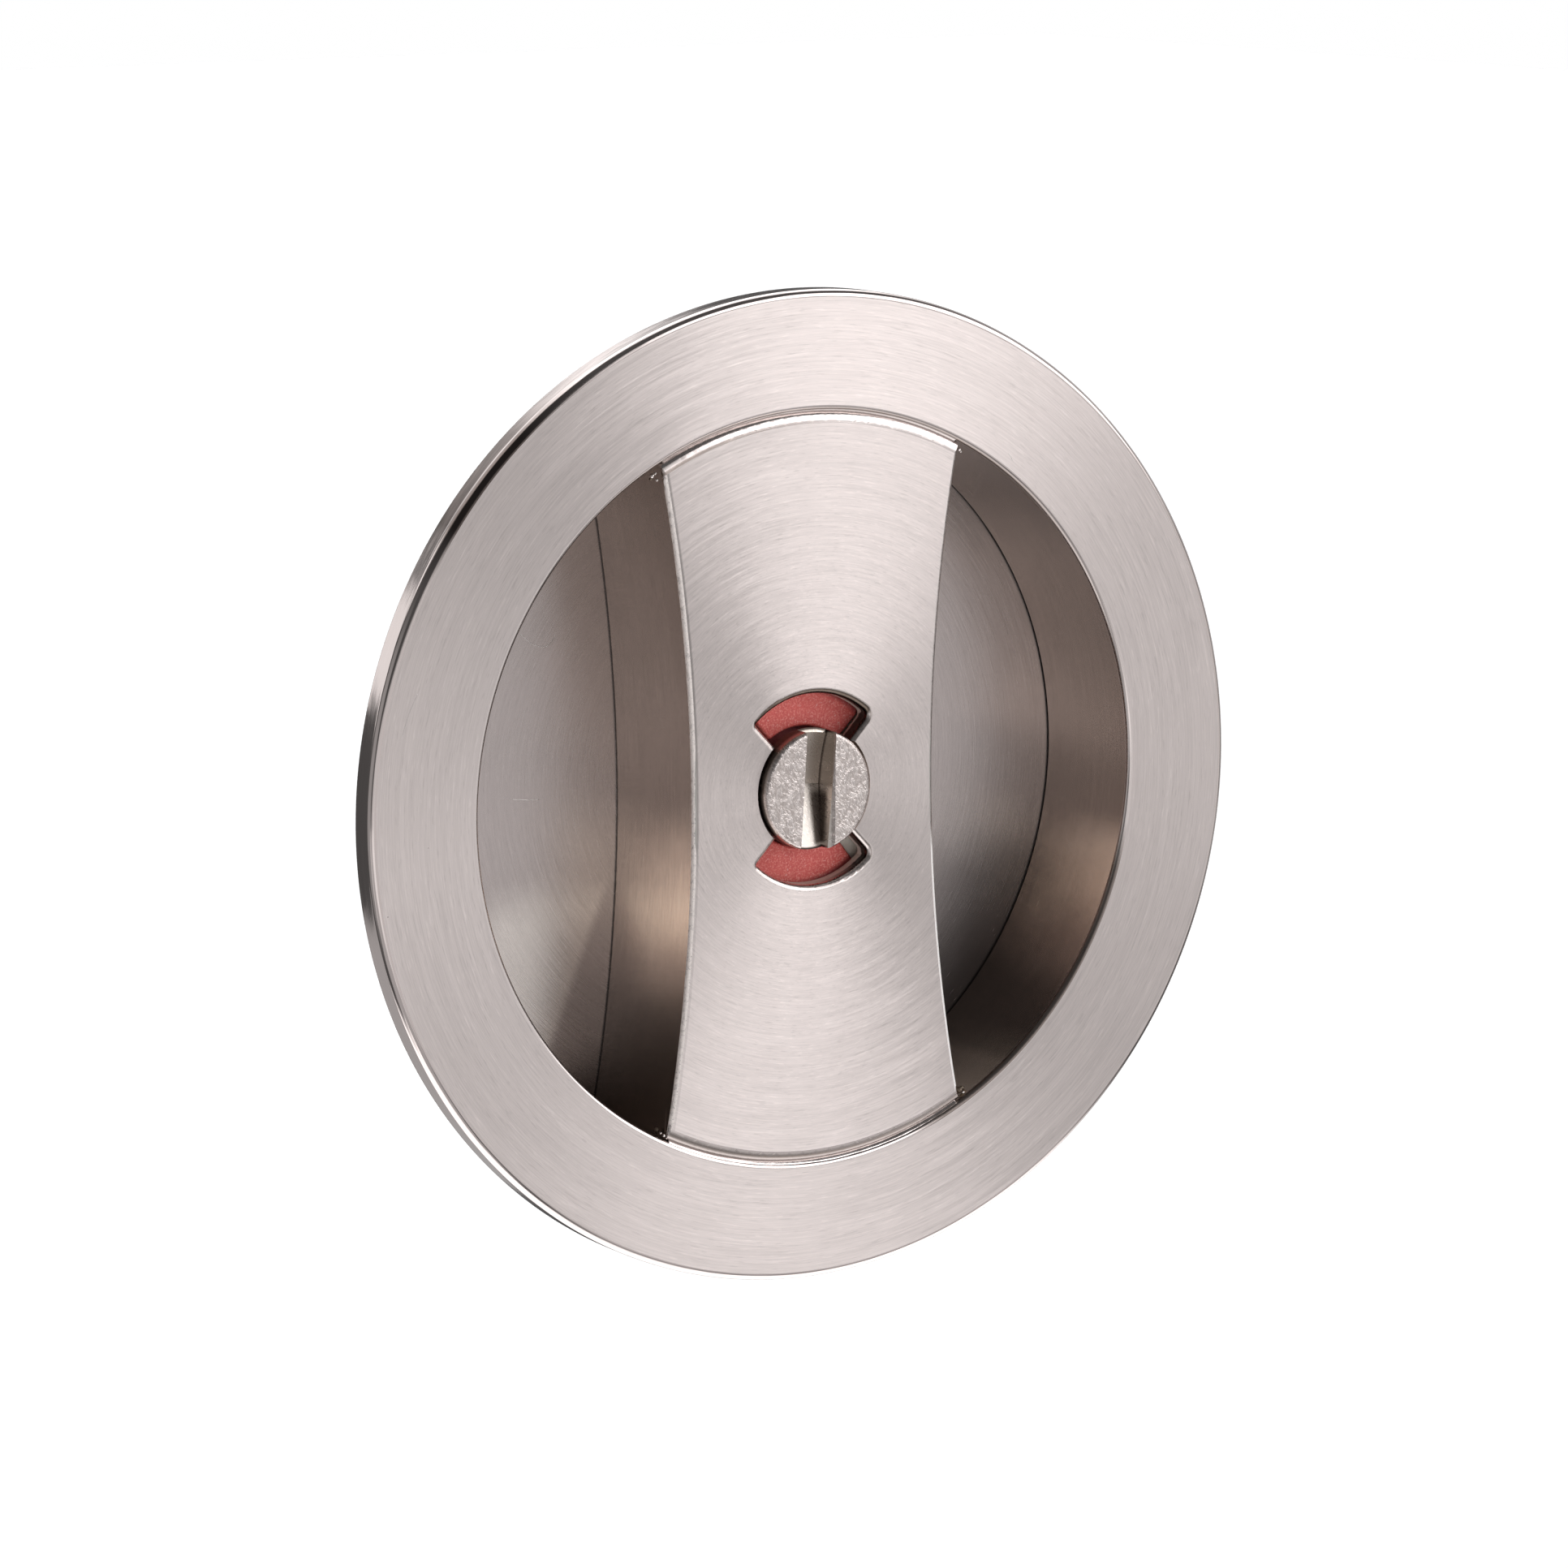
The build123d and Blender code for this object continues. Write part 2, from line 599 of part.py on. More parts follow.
# ---------------------------------------------------------------- post washers
with BuildPart() as post_washers:
    with BuildSketch(level(CUP_DEPTH + FLOOR_T)):
        with Locations((0, POST_Z), (0, -POST_Z)):
            Circle(4.3)
        with Locations((0, POST_Z), (0, -POST_Z)):
            Circle(POST_STUD_R + 0.1, mode=Mode.SUBTRACT)
    extrude(amount=-WASHER_T)
post_washers.part.label = "post_washers"
export_step(post_washers.part, "parts/post_washers.step")

# ---------------------------------------------------------------- fixing posts
post_front = CUP_DEPTH + FLOOR_T + WASHER_T
with BuildPart() as fixing_post_upper:
    with BuildSketch(level(post_front)):
        with Locations((0, POST_Z)):
            RegularPolygon(POST_R, 6, major_radius=False)
    extrude(amount=-(POST_END - post_front))
    with BuildSketch(level(post_front)):
        with Locations((0, POST_Z)):
            Circle(POST_STUD_R)
    extrude(amount=post_front - 3.4)
    with BuildSketch(level(POST_END)):
        with Locations((0, POST_Z)):
            Circle(POST_TAP_R)
    extrude(amount=9.0, mode=Mode.SUBTRACT)
fixing_post_upper.part.label = "fixing_post_upper"
export_step(fixing_post_upper.part, "parts/fixing_post_upper.step")

with BuildPart() as fixing_post_lower:
    with BuildSketch(level(post_front)):
        with Locations((0, -POST_Z)):
            RegularPolygon(POST_R, 6, major_radius=False)
    extrude(amount=-(POST_END - post_front))
    with BuildSketch(level(post_front)):
        with Locations((0, -POST_Z)):
            Circle(POST_STUD_R)
    extrude(amount=post_front - 3.4)
    with BuildSketch(level(POST_END)):
        with Locations((0, -POST_Z)):
            Circle(POST_TAP_R)
    extrude(amount=9.0, mode=Mode.SUBTRACT)
fixing_post_lower.part.label = "fixing_post_lower"
export_step(fixing_post_lower.part, "parts/fixing_post_lower.step")
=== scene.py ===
import math
import random

import bmesh
import bpy
from mathutils import Matrix, Vector


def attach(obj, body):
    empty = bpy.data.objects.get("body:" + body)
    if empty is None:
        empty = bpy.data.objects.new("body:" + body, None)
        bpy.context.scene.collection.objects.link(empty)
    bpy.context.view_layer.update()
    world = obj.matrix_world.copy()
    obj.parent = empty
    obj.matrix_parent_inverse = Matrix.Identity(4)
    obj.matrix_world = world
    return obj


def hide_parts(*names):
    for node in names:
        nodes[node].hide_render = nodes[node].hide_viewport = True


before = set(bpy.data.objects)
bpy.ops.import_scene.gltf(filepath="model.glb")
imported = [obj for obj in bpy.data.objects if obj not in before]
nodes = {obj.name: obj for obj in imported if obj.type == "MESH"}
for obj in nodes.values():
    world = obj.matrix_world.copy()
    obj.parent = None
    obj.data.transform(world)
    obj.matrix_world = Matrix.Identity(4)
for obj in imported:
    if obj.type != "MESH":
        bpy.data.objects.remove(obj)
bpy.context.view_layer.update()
scene = bpy.context.scene
MM = 0.001

# ------------------------------------------------------------------ camera
cam_data = bpy.data.cameras.new("camera")
cam = bpy.data.objects.new("camera", cam_data)
scene.collection.objects.link(cam)
scene.camera = cam
cam_data.sensor_width = 36.0
cam_data.lens = 144.17
cam_data.shift_x = -0.019318
cam_data.shift_y = 0.003677
cam_data.clip_start = 0.01
cam_data.clip_end = 50.0
eye = Vector((-0.215379, -0.353852, 0.070052))
forward = (Vector((0.0, -0.002, 0.0)) - eye).normalized()
right = forward.cross(Vector((0, 0, 1))).normalized()
up = right.cross(forward)
roll = math.radians(-0.263)
cam_x = right * math.cos(roll) + up * math.sin(roll)
cam_y = up * math.cos(roll) - right * math.sin(roll)
turned = Matrix((cam_x, cam_y, -forward)).transposed().to_4x4()
cam.matrix_world = Matrix.Translation(eye) @ turned

scene.view_settings.view_transform = "Standard"
scene.view_settings.look = "None"


# ------------------------------------------------------------------ shader helpers
class Graph:
    """A material's node tree, written as expressions."""

    def __init__(self, name, tree=None):
        if tree is None:
            self.material = bpy.data.materials.new(name)
            self.material.use_nodes = True
            tree = self.material.node_tree
        self.tree = tree
        tree.nodes.clear()

    def add(self, kind, **settings):
        node = self.tree.nodes.new(kind)
        for key, value in settings.items():
            setattr(node, key, value)
        return node

    def put(self, socket, value):
        if isinstance(value, bpy.types.NodeSocket):
            self.tree.links.new(value, socket)
        elif value is not None:
            socket.default_value = value

    def math(self, op, a, b=None, c=None, clamp=False):
        node = self.add("ShaderNodeMath", operation=op, use_clamp=clamp)
        for socket, value in zip(node.inputs, (a, b, c)):
            self.put(socket, value)
        return node.outputs[0]

    def vec(self, op, a, b=None, scale=None):
        node = self.add("ShaderNodeVectorMath", operation=op)
        self.put(node.inputs[0], a)
        if b is not None:
            self.put(node.inputs[1], b)
        if scale is not None:
            self.put(node.inputs["Scale"], scale)
        return node.outputs["Value" if op in ("DOT_PRODUCT", "LENGTH") else "Vector"]

    def combine(self, x, y, z):
        node = self.add("ShaderNodeCombineXYZ")
        for socket, value in zip(node.inputs, (x, y, z)):
            self.put(socket, value)
        return node.outputs[0]

    def split(self, v):
        node = self.add("ShaderNodeSeparateXYZ")
        self.put(node.inputs[0], v)
        return node.outputs

    def noise(self, v, scale, detail=2.0, rough=0.5, distortion=0.0):
        node = self.add("ShaderNodeTexNoise", noise_dimensions="3D")
        self.put(node.inputs["Vector"], v)
        node.inputs["Scale"].default_value = scale
        node.inputs["Detail"].default_value = detail
        node.inputs["Roughness"].default_value = rough
        node.inputs["Distortion"].default_value = distortion
        return node.outputs["Fac"]

    def span(self, v, a, b, lo=0.0, hi=1.0, smooth=False):
        node = self.add("ShaderNodeMapRange", clamp=True)
        if smooth:
            node.interpolation_type = "SMOOTHSTEP"
        for socket, value in zip(node.inputs, (v, a, b, lo, hi)):
            self.put(socket, value)
        return node.outputs[0]

    def mix(self, f, a, b):
        node = self.add("ShaderNodeMix", data_type="RGBA")
        self.put(node.inputs["Factor"], f)
        self.put(node.inputs["A"], a)
        self.put(node.inputs["B"], b)
        return node.outputs["Result"]

    def vmix(self, f, a, b):
        node = self.add("ShaderNodeMix", data_type="VECTOR")
        self.put(node.inputs["Factor"], f)
        self.put(node.inputs[4], a)
        self.put(node.inputs[5], b)
        return node.outputs[1]

    def bump(self, height, distance, strength=1.0, normal=None):
        node = self.add("ShaderNodeBump")
        self.put(node.inputs["Height"], height)
        self.put(node.inputs["Distance"], distance)
        self.put(node.inputs["Strength"], strength)
        if normal is not None:
            self.put(node.inputs["Normal"], normal)
        return node.outputs[0]

    def point(self):
        """Place on the object in millimetres."""
        return self.vec("SCALE", self.add("ShaderNodeTexCoord").outputs["Object"], scale=1000.0)

    def normal(self):
        return self.add("ShaderNodeNewGeometry").outputs["Normal"]

    def ring(self, p):
        """Radius, cosine, sine and depth of a point about the part's axis."""
        x, y, z = self.split(p)
        r = self.math("SQRT", self.math("ADD", self.math("MULTIPLY", x, x), self.math("MULTIPLY", z, z)))
        safe = self.math("MAXIMUM", r, 0.001)
        return r, self.math("DIVIDE", x, safe), self.math("DIVIDE", z, safe), y

    def shader(self, **values):
        node = self.add("ShaderNodeBsdfPrincipled")
        for name, value in values.items():
            self.put(node.inputs[name.replace("_", " ")], value)
        out = self.add("ShaderNodeOutputMaterial")
        self.tree.links.new(node.outputs[0], out.inputs[0])
        return node


# ------------------------------------------------------------------ materials
NICKEL = (0.78, 0.700, 0.680)
# The cup's floor and recess walls are the face's nickel made darker: painted shade for the deep cup, and on the
# floor partly its plainer finish.
SHADED_FLOOR_NICKEL = (0.55, 0.487, 0.475)
SHADED_RECESS_NICKEL = (0.50, 0.42, 0.372)
FACE_ROUGH = 0.34
ANISO = 0.85


def brushed(name, colour=NICKEL, rough=FACE_ROUGH, marks="round", contrast=1.0, aniso=ANISO, corner_line=False, edge_line=False, painted_light=None):
    """Brushed nickel. The marks run round the part's axis, or straight up."""
    g = Graph(name)
    p = g.point()
    n = g.normal()
    x, y, z = g.split(p)
    r, c, s, depth = g.ring(p)
    if marks == "round":
        along = g.combine(s, 0.0, g.math("MULTIPLY", c, -1.0))
        across = g.math("ADD", r, g.math("MULTIPLY", depth, 0.93))
        run_a, run_b = c, s
        turn = 1.0
    else:
        along = g.combine(0.0, 0.0, 1.0)
        across = g.math("ADD", depth, g.math("MULTIPLY", x, 0.6))
        run_a, run_b = g.math("MULTIPLY", z, 0.06), g.math("MULTIPLY", x, 0.05)
        turn = 1.0

    def streaks(pitch, length):
        return g.combine(
            g.math("MULTIPLY", across, pitch),
            g.math("MULTIPLY", run_a, length * turn),
            g.math("MULTIPLY", run_b, length * turn),
        )

    fine = g.noise(streaks(13.0, 8.0), 1.0, 3.0, 0.7)
    middle = g.noise(streaks(6.0, 4.0), 1.0, 2.0, 0.6)
    broad = g.noise(streaks(1.5, 1.2), 1.0, 2.0, 0.5)
    cut = g.noise(streaks(9.0, 24.0), 1.0, 1.0, 0.5)
    cloud = g.noise(p, 0.11, 3.0, 0.55)
    # A brush stroke wanders a little, so it catches light from beside its run.
    lean = g.math("MULTIPLY", g.math("SUBTRACT", middle, 0.5), 0.34)
    side = g.vec("NORMALIZE", g.vec("CROSS_PRODUCT", n, along))
    tangent = g.vec("NORMALIZE", g.vec("ADD", side, g.vec("SCALE", along, scale=lean)))
    mixed = g.math("ADD", g.math("MULTIPLY", fine, 0.45), g.math("MULTIPLY", middle, 0.35))
    mixed = g.math("ADD", mixed, g.math("MULTIPLY", broad, 0.2))
    lo, hi = 1.0 - 0.17 * contrast, 1.0 + 0.11 * contrast
    tint = g.span(mixed, 0.3, 0.7, lo, hi)
    # Short deeper cuts among the fine strokes.
    tint = g.math("MULTIPLY", tint, g.span(cut, 0.62, 0.72, 1.0, 1.0 + 0.09 * contrast))
    tint = g.math("MULTIPLY", tint, g.span(cut, 0.28, 0.38, 1.0 - 0.10 * contrast, 1.0))
    wide = g.math("ADD", rough - 0.03, g.math("MULTIPLY", fine, 0.1))
    wide = g.math("ADD", wide, g.math("MULTIPLY", g.math("SUBTRACT", cloud, 0.5), 0.08))
    height = g.math("ADD", fine, g.math("MULTIPLY", middle, 1.6))
    if corner_line:
        # A dark ragged line in the corner where the wall meets the floor.
        ragged = g.math("ADD", depth, g.math("MULTIPLY", g.math("SUBTRACT", g.noise(p, 2.2, 3.0, 0.6), 0.5), 0.12))
        tint = g.math("MULTIPLY", tint, g.span(ragged, 7.40, 7.50, 1.0, 0.16))
    if painted_light:
        # Painted light low on both sides of the cup: warm painted highlights where the recess mirrors lit metal,
        # and painted shade around them.
        wander = g.math("ADD", z, g.math("MULTIPLY", g.math("SUBTRACT", cloud, 0.5), 5.0))
        if painted_light == "side":
            # Side: a painted highlight low on the left, painted shade below it and high up.
            mask = g.math("MULTIPLY", g.span(wander, -12.5, -7.0, smooth=True), g.span(wander, -5.2, 0.5, 1.0, 0.0, smooth=True))
            mask = g.math("MULTIPLY", mask, g.span(depth, -1.0, 8.5, 1.0, 0.42))
            mask = g.math("MULTIPLY", mask, g.span(x, -1.0, 0.0, 1.0, 0.0))
            tint = g.math("MULTIPLY", tint, g.span(wander, -15.0, -12.0, 0.72, 1.0, smooth=True))
            tint = g.math("MULTIPLY", tint, g.span(wander, 6.0, 16.0, 1.0, 0.86))
        elif painted_light == "wall":
            # Wall: painted shade low on the right except at its foot, lighter above the middle and darker again
            # high up; painted highlights on the right below the middle and at the foot.
            foot = g.span(z, -20.4, -18.4, 1.0, 0.0)
            painted_shade = g.math("MAXIMUM", g.span(wander, -16.5, -14.0, 0.72, 1.0, smooth=True), foot)
            tint = g.math("MULTIPLY", tint, g.math("MAXIMUM", painted_shade, g.span(x, -1.0, 0.0, 1.0, 0.0)))
            tint = g.math("MULTIPLY", tint, g.math("MULTIPLY", g.span(wander, 13.0, 18.0, 1.0, 0.78), g.span(wander, 0.0, 7.0, 1.0, 1.14)))
            mask = g.math("MULTIPLY", g.span(wander, -14.0, -9.0, smooth=True), g.span(wander, -7.2, -4.0, 1.0, 0.0, smooth=True))
            mask = g.math("MULTIPLY", mask, g.span(depth, -1.5, 7.5, 1.0, 0.45))
            low = g.math("MULTIPLY", foot, g.span(depth, -1.0, 5.0, 1.0, 0.25))
            mask = g.math("MULTIPLY", g.math("MAXIMUM", mask, low), g.span(x, 0.0, 1.0))
        else:
            # Floor: a painted highlight low on the left, and painted shade low on the right.
            front = g.span(depth, 7.75, 7.85, 1.0, 0.0)
            edge = g.math("ADD", x, g.math("MULTIPLY", z, -0.42))
            mask = g.math("MULTIPLY", g.span(edge, -8.2, -7.2, 1.0, 0.0, smooth=True), g.span(wander, -9.5, -5.5, 1.0, 0.0, smooth=True))
            mask = g.math("MULTIPLY", mask, g.math("MULTIPLY", g.span(x, -1.0, 0.0, 1.0, 0.0), 0.5))
            mask = g.math("MULTIPLY", mask, front)
            painted_shade = g.math("MULTIPLY", g.span(x, 0.0, 1.0), g.span(wander, -9.5, -4.0, 1.0, 0.0, smooth=True))
            painted_shade = g.math("MULTIPLY", painted_shade, front)
            tint = g.math("MULTIPLY", tint, g.math("SUBTRACT", 1.0, g.math("MULTIPLY", painted_shade, 0.34)))
        painted_glow = g.vmix(mask, (1.0, 1.0, 1.0), (1.98, 2.06, 1.98))
        colour = g.vec("MULTIPLY", painted_glow, colour)
    if edge_line:
        # Thin dark line on the face beside the bridge's left edge.
        hollow = g.math("SUBTRACT", 117.9 ** 2, g.math("MULTIPLY", z, z))
        gap = g.math("SUBTRACT", 9.345 + 117.9 - 0.26, g.math("SQRT", hollow))
        gap = g.math("ADD", gap, x)
        gap = g.math("ADD", gap, g.math("MULTIPLY", g.math("SUBTRACT", g.noise(p, 1.6, 3.0, 0.6), 0.5), 0.07))
        line = g.span(gap, 0.09, 0.20, 0.58, 1.0)
        # Fainter in the lower half.
        line = g.math("MAXIMUM", line, g.span(z, -5.0, 1.0, 0.86, 0.0))
        tint = g.math("MULTIPLY", tint, line)
    g.shader(
        Base_Color=g.vec("MULTIPLY", colour, g.combine(tint, tint, tint)),
        Metallic=1.0,
        Roughness=wide,
        Anisotropic=aniso,
        Tangent=tangent,
        Normal=g.bump(height, 0.0000035),
    )
    return g.material


def polished(name, colour=NICKEL, rough=0.1, shade=False, rim=False):
    """Buffed nickel of the rims, with the faint waves a buffing wheel leaves."""
    g = Graph(name)
    p = g.point()
    r, c, s, y = g.ring(p)
    wave = g.noise(g.combine(g.math("MULTIPLY", y, 0.8), g.math("MULTIPLY", c, 9.0), g.math("MULTIPLY", s, 9.0)), 1.0, 2.0, 0.5)
    line = g.noise(g.combine(g.math("MULTIPLY", g.math("ADD", y, r), 9.0), g.math("MULTIPLY", c, 5.0), g.math("MULTIPLY", s, 5.0)), 1.0, 2.0, 0.6)
    height = g.math("ADD", g.math("MULTIPLY", wave, 6.0), line)
    base = g.mix(line, tuple(v * 0.9 for v in colour) + (1,), tuple(colour) + (1,))
    wide = g.span(line, 0.3, 0.7, rough - 0.03, rough + 0.06)
    if shade:
        # Painted shade: the rounds that face down are made brown, standing in for the dark they mirror.
        nx, ny, nz = g.split(g.normal())
        down = g.math("SUBTRACT", g.math("MULTIPLY", nz, -1.0), 0.04)
        left = g.math("DIVIDE", down, g.span(r, 25.1, 25.2, 0.30, 0.72), clamp=True)
        # Half as much painted shade on the fillet at the bridge's ends.
        half_shade_band = g.math("MULTIPLY", g.span(r, 24.84, 25.02), g.span(r, 25.34, 25.40, 1.0, 0.0))
        left = g.math("MULTIPLY", left, g.math("SUBTRACT", 1.0, g.math("MULTIPLY", half_shade_band, 0.5)))
        # Painted shade on the ring's inner round, low on the right, as well.
        shade_low_right = g.math("MULTIPLY", g.span(c, 0.28, 0.40), g.span(s, -0.30, -0.18, 1.0, 0.0))
        shade_low_right = g.math("MULTIPLY", shade_low_right, g.span(r, 25.30, 25.36, 0.0, 0.78))
        left = g.math("MAXIMUM", left, shade_low_right)
        base = g.mix(left, base, (0.16, 0.122, 0.102, 1))
        # A faint brown line where the upper end's round leaves the face.
        trace = g.math("MULTIPLY", g.span(r, 24.50, 24.56), g.span(r, 24.68, 24.78, 1.0, 0.0))
        trace = g.math("MULTIPLY", trace, g.span(g.math("DIVIDE", s, 1.0), 0.5, 0.6))
        trace = g.math("MULTIPLY", trace, g.span(c, -0.34, 0.12, 0.75, 0.0))
        base = g.mix(trace, base, (0.30, 0.24, 0.21, 1))
        wide = g.math("ADD", wide, g.math("MULTIPLY", g.math("MAXIMUM", left, trace), 0.16))
    if rim:
        # Painted dark reflection: brown on the upper left of the rim, with a bright thread where its round meets
        # its side.
        brown = g.math("MULTIPLY", g.span(c, -0.88, -0.81), g.span(c, -0.66, -0.48, 0.88, 0.0))
        brown = g.math("MULTIPLY", brown, g.span(s, 0.1, 0.2))
        thread = g.math("MULTIPLY", g.span(y, -1.52, -1.44), g.span(y, -1.34, -1.26, 0.75, 0.0))
        brown = g.math("MULTIPLY", brown, g.math("SUBTRACT", 1.0, thread))
        base = g.mix(brown, base, (0.06, 0.042, 0.035, 1))
    g.shader(
        Base_Color=base,
        Metallic=1.0,
        Roughness=wide,
        Normal=g.bump(height, 0.000006, 0.8),
    )
    return g.material


def as_cast(name, colour, rough=0.42, depth=0.00001):
    """Plated casting that was left as it came from the mould."""
    g = Graph(name)
    p = g.point()
    grain = g.noise(p, 2.6, 5.0, 0.6)
    cloud = g.noise(p, 0.2, 3.0, 0.55)
    g.shader(
        Base_Color=g.mix(cloud, tuple(v * 0.82 for v in colour) + (1,), tuple(colour) + (1,)),
        Metallic=1.0,
        Roughness=g.span(grain, 0.3, 0.7, rough - 0.06, rough + 0.08),
        Normal=g.bump(grain, depth, 0.8),
    )
    return g.material


def coin_metal(name):
    """Coin turn: a dense grain of short slanting ridges, smoother in the slot."""
    g = Graph(name)
    p = g.point()
    x, y, z = g.split(p)
    r, c, s, depth = g.ring(p)
    warp = g.noise(p, 0.9, 2.0, 0.5)
    over = g.math("ADD", g.math("MULTIPLY", x, 0.80), g.math("MULTIPLY", z, 0.60))
    over = g.math("ADD", over, g.math("MULTIPLY", warp, 0.9))
    run = g.math("SUBTRACT", g.math("MULTIPLY", x, 0.60), g.math("MULTIPLY", z, 0.80))
    ridges = g.noise(g.combine(g.math("MULTIPLY", over, 9.0), g.math("MULTIPLY", run, 2.8), y), 1.0, 2.0, 0.55, 0.4)
    grain = g.noise(p, 9.0, 3.0, 0.6)
    lumps = g.noise(p, 1.1, 2.0, 0.5)
    crest = g.span(ridges, 0.46, 0.62, smooth=True)
    # The slot was cut after casting: only its walls and floor lie this deep.
    flat = g.span(depth, -2.50, -2.42, 1.0, 0.12)
    height = g.math("ADD", g.math("MULTIPLY", crest, 1.0), g.math("MULTIPLY", grain, 0.35))
    height = g.math("ADD", height, g.math("MULTIPLY", lumps, 0.8))
    height = g.math("MULTIPLY", height, flat)
    tint = g.math("ADD", g.math("MULTIPLY", ridges, 0.7), g.math("MULTIPLY", grain, 0.3))
    base = g.mix(g.span(tint, 0.38, 0.62), (0.50, 0.435, 0.41, 1), (0.80, 0.725, 0.70, 1))
    # The slot's walls and its floor are duller; low down they are made pale as a painted reflection of the light
    # the floor mirrors there.
    slot = g.mix(g.span(z, -0.05, 0.25), (0.90, 0.82, 0.76, 1), (0.50, 0.44, 0.395, 1))
    base = g.mix(g.span(depth, -2.45, -2.35), base, slot)
    # Painted shadow at the foot of the slot's right wall, low down.
    foot = g.math("MULTIPLY", g.span(depth, -2.0, -1.55), g.span(z, -0.6, 0.3, 1.0, 0.0))
    foot = g.math("MULTIPLY", foot, g.math("MULTIPLY", g.span(x, 0.2, 0.5), g.span(r, 3.7, 3.9, 1.0, 0.0)))
    base = g.mix(g.math("MULTIPLY", foot, 0.85), base, (0.16, 0.125, 0.105, 1))
    # Painted shade on the side of the head, down in the hole, where it mirrors the dark around it.
    side = g.math("MULTIPLY", g.span(r, 3.92, 4.02), g.span(depth, -2.30, -1.75))
    base = g.mix(side, base, (0.10, 0.075, 0.065, 1))
    # Thin dark line in the corner between the slot's floor and its right wall.
    ca, sa = math.cos(math.radians(3.8)), math.sin(math.radians(3.8))
    across = g.math("SUBTRACT", g.math("MULTIPLY", x, ca), g.math("MULTIPLY", z, sa))
    nx, ny, nz = g.split(g.normal())
    floor = g.math("MULTIPLY", g.span(ny, -0.9, -0.7, 1.0, 0.0), g.span(depth, -2.2, -1.9))
    corner = g.math("MULTIPLY", floor, g.span(across, 1.045, 1.075))
    corner = g.math("MULTIPLY", corner, g.span(z, -1.6, -0.4, 0.25, 0.8))
    base = g.mix(corner, base, (0.06, 0.045, 0.038, 1))
    g.shader(
        Base_Color=base,
        Metallic=1.0,
        Roughness=g.math("ADD", g.span(crest, 0.0, 1.0, 0.36, 0.27), g.math("MULTIPLY", side, 0.2)),
        Normal=g.bump(height, 0.000016, 0.9),
    )
    return g.material


def red_paint(name):
    """Matte red paint with a fine dry grain, rubbed a little in places."""
    g = Graph(name)
    p = g.point()
    grain = g.noise(p, 7.0, 3.0, 0.7)
    fine = g.noise(p, 16.0, 2.0, 0.6)
    cloud = g.noise(p, 0.9, 3.0, 0.6)
    fleck = g.span(g.noise(p, 5.0, 2.0, 0.5), 0.66, 0.73)
    r, c, s, depth = g.ring(p)
    # Painted shade: dark in the sunk ring, toward the foot of each wing and under the wall, more on the right.
    sunk = g.span(depth, 0.05, 0.25)
    under = g.span(g.math("ADD", r, g.math("MULTIPLY", c, 0.34)), 6.30, 6.62, 0.0, 0.8)
    low = g.math("MAXIMUM", g.span(depth, -0.28, -0.08), under)
    base = g.mix(cloud, (0.66, 0.09, 0.08, 1), (0.84, 0.15, 0.128, 1))
    base = g.mix(g.span(grain, 0.50, 0.64), base, (0.92, 0.31, 0.27, 1))
    base = g.mix(g.math("MULTIPLY", g.span(grain, 0.40, 0.30), 0.45), base, (0.42, 0.045, 0.04, 1))
    base = g.mix(g.math("MULTIPLY", fleck, 0.6), base, (0.97, 0.58, 0.52, 1))
    base = g.mix(low, base, (0.27, 0.025, 0.022, 1))
    base = g.mix(sunk, base, (0.20, 0.022, 0.022, 1))
    height = g.math("ADD", grain, g.math("MULTIPLY", fine, 0.4))
    g.shader(
        Base_Color=base,
        Metallic=0.0,
        Roughness=g.span(grain, 0.3, 0.7, 0.58, 0.40),
        Normal=g.bump(height, 0.00004, 0.9),
    )
    return g.material


def window_wall(name):
    """Dull cast wall of the windows: pale at its foot, with painted shade above it on the sides that face left and
    along its lowest edge."""
    g = Graph(name)
    p = g.point()
    nx, ny, nz = g.split(g.normal())
    x, y, z = g.split(p)
    r, c, s, depth = g.ring(p)
    grain = g.noise(p, 3.4, 4.0, 0.6)
    line = g.noise(g.combine(g.math("MULTIPLY", x, 1.2), g.math("MULTIPLY", depth, 7.0), g.math("MULTIPLY", z, 1.2)), 1.0, 3.0, 0.6)
    ragged = g.math("ADD", depth, g.math("MULTIPLY", g.math("SUBTRACT", grain, 0.5), 0.22))
    pale = g.mix(g.span(line, 0.35, 0.65), (0.50, 0.445, 0.39, 1), (0.70, 0.635, 0.57, 1))
    # Painted shade on the sides that face left, down from the face; on the curved wall it stops a little higher up
    # than on the two straight ones.
    shade_edge = g.span(r, 6.25, 6.40, -0.86, -1.22)
    left_face_shade = g.math("MULTIPLY", g.span(nx, -0.55, -0.10, 1.0, 0.0), g.span(g.math("SUBTRACT", ragged, shade_edge), -0.06, 0.06, 1.0, 0.0))
    base = g.mix(left_face_shade, pale, (0.050, 0.040, 0.034, 1))
    # Painted shadow along the wall's lowest edge.
    base = g.mix(g.span(ragged, -0.70, -0.62), base, (0.045, 0.032, 0.028, 1))
    # Painted light: the lower window's right end is made pale down to the disc.
    lit_end = g.math("MULTIPLY", g.span(s, -0.4, -0.3, 1.0, 0.0), g.span(ragged, -1.15, -1.0))
    base = g.mix(g.math("MULTIPLY", lit_end, 0.75), base, (0.66, 0.59, 0.53, 1))
    g.shader(
        Base_Color=base,
        Specular_IOR_Level=0.2,
        Metallic=0.15,
        Roughness=g.span(grain, 0.3, 0.7, 0.42, 0.60),
        Normal=g.bump(g.math("ADD", grain, line), 0.00003, 0.9),
    )
    return g.material


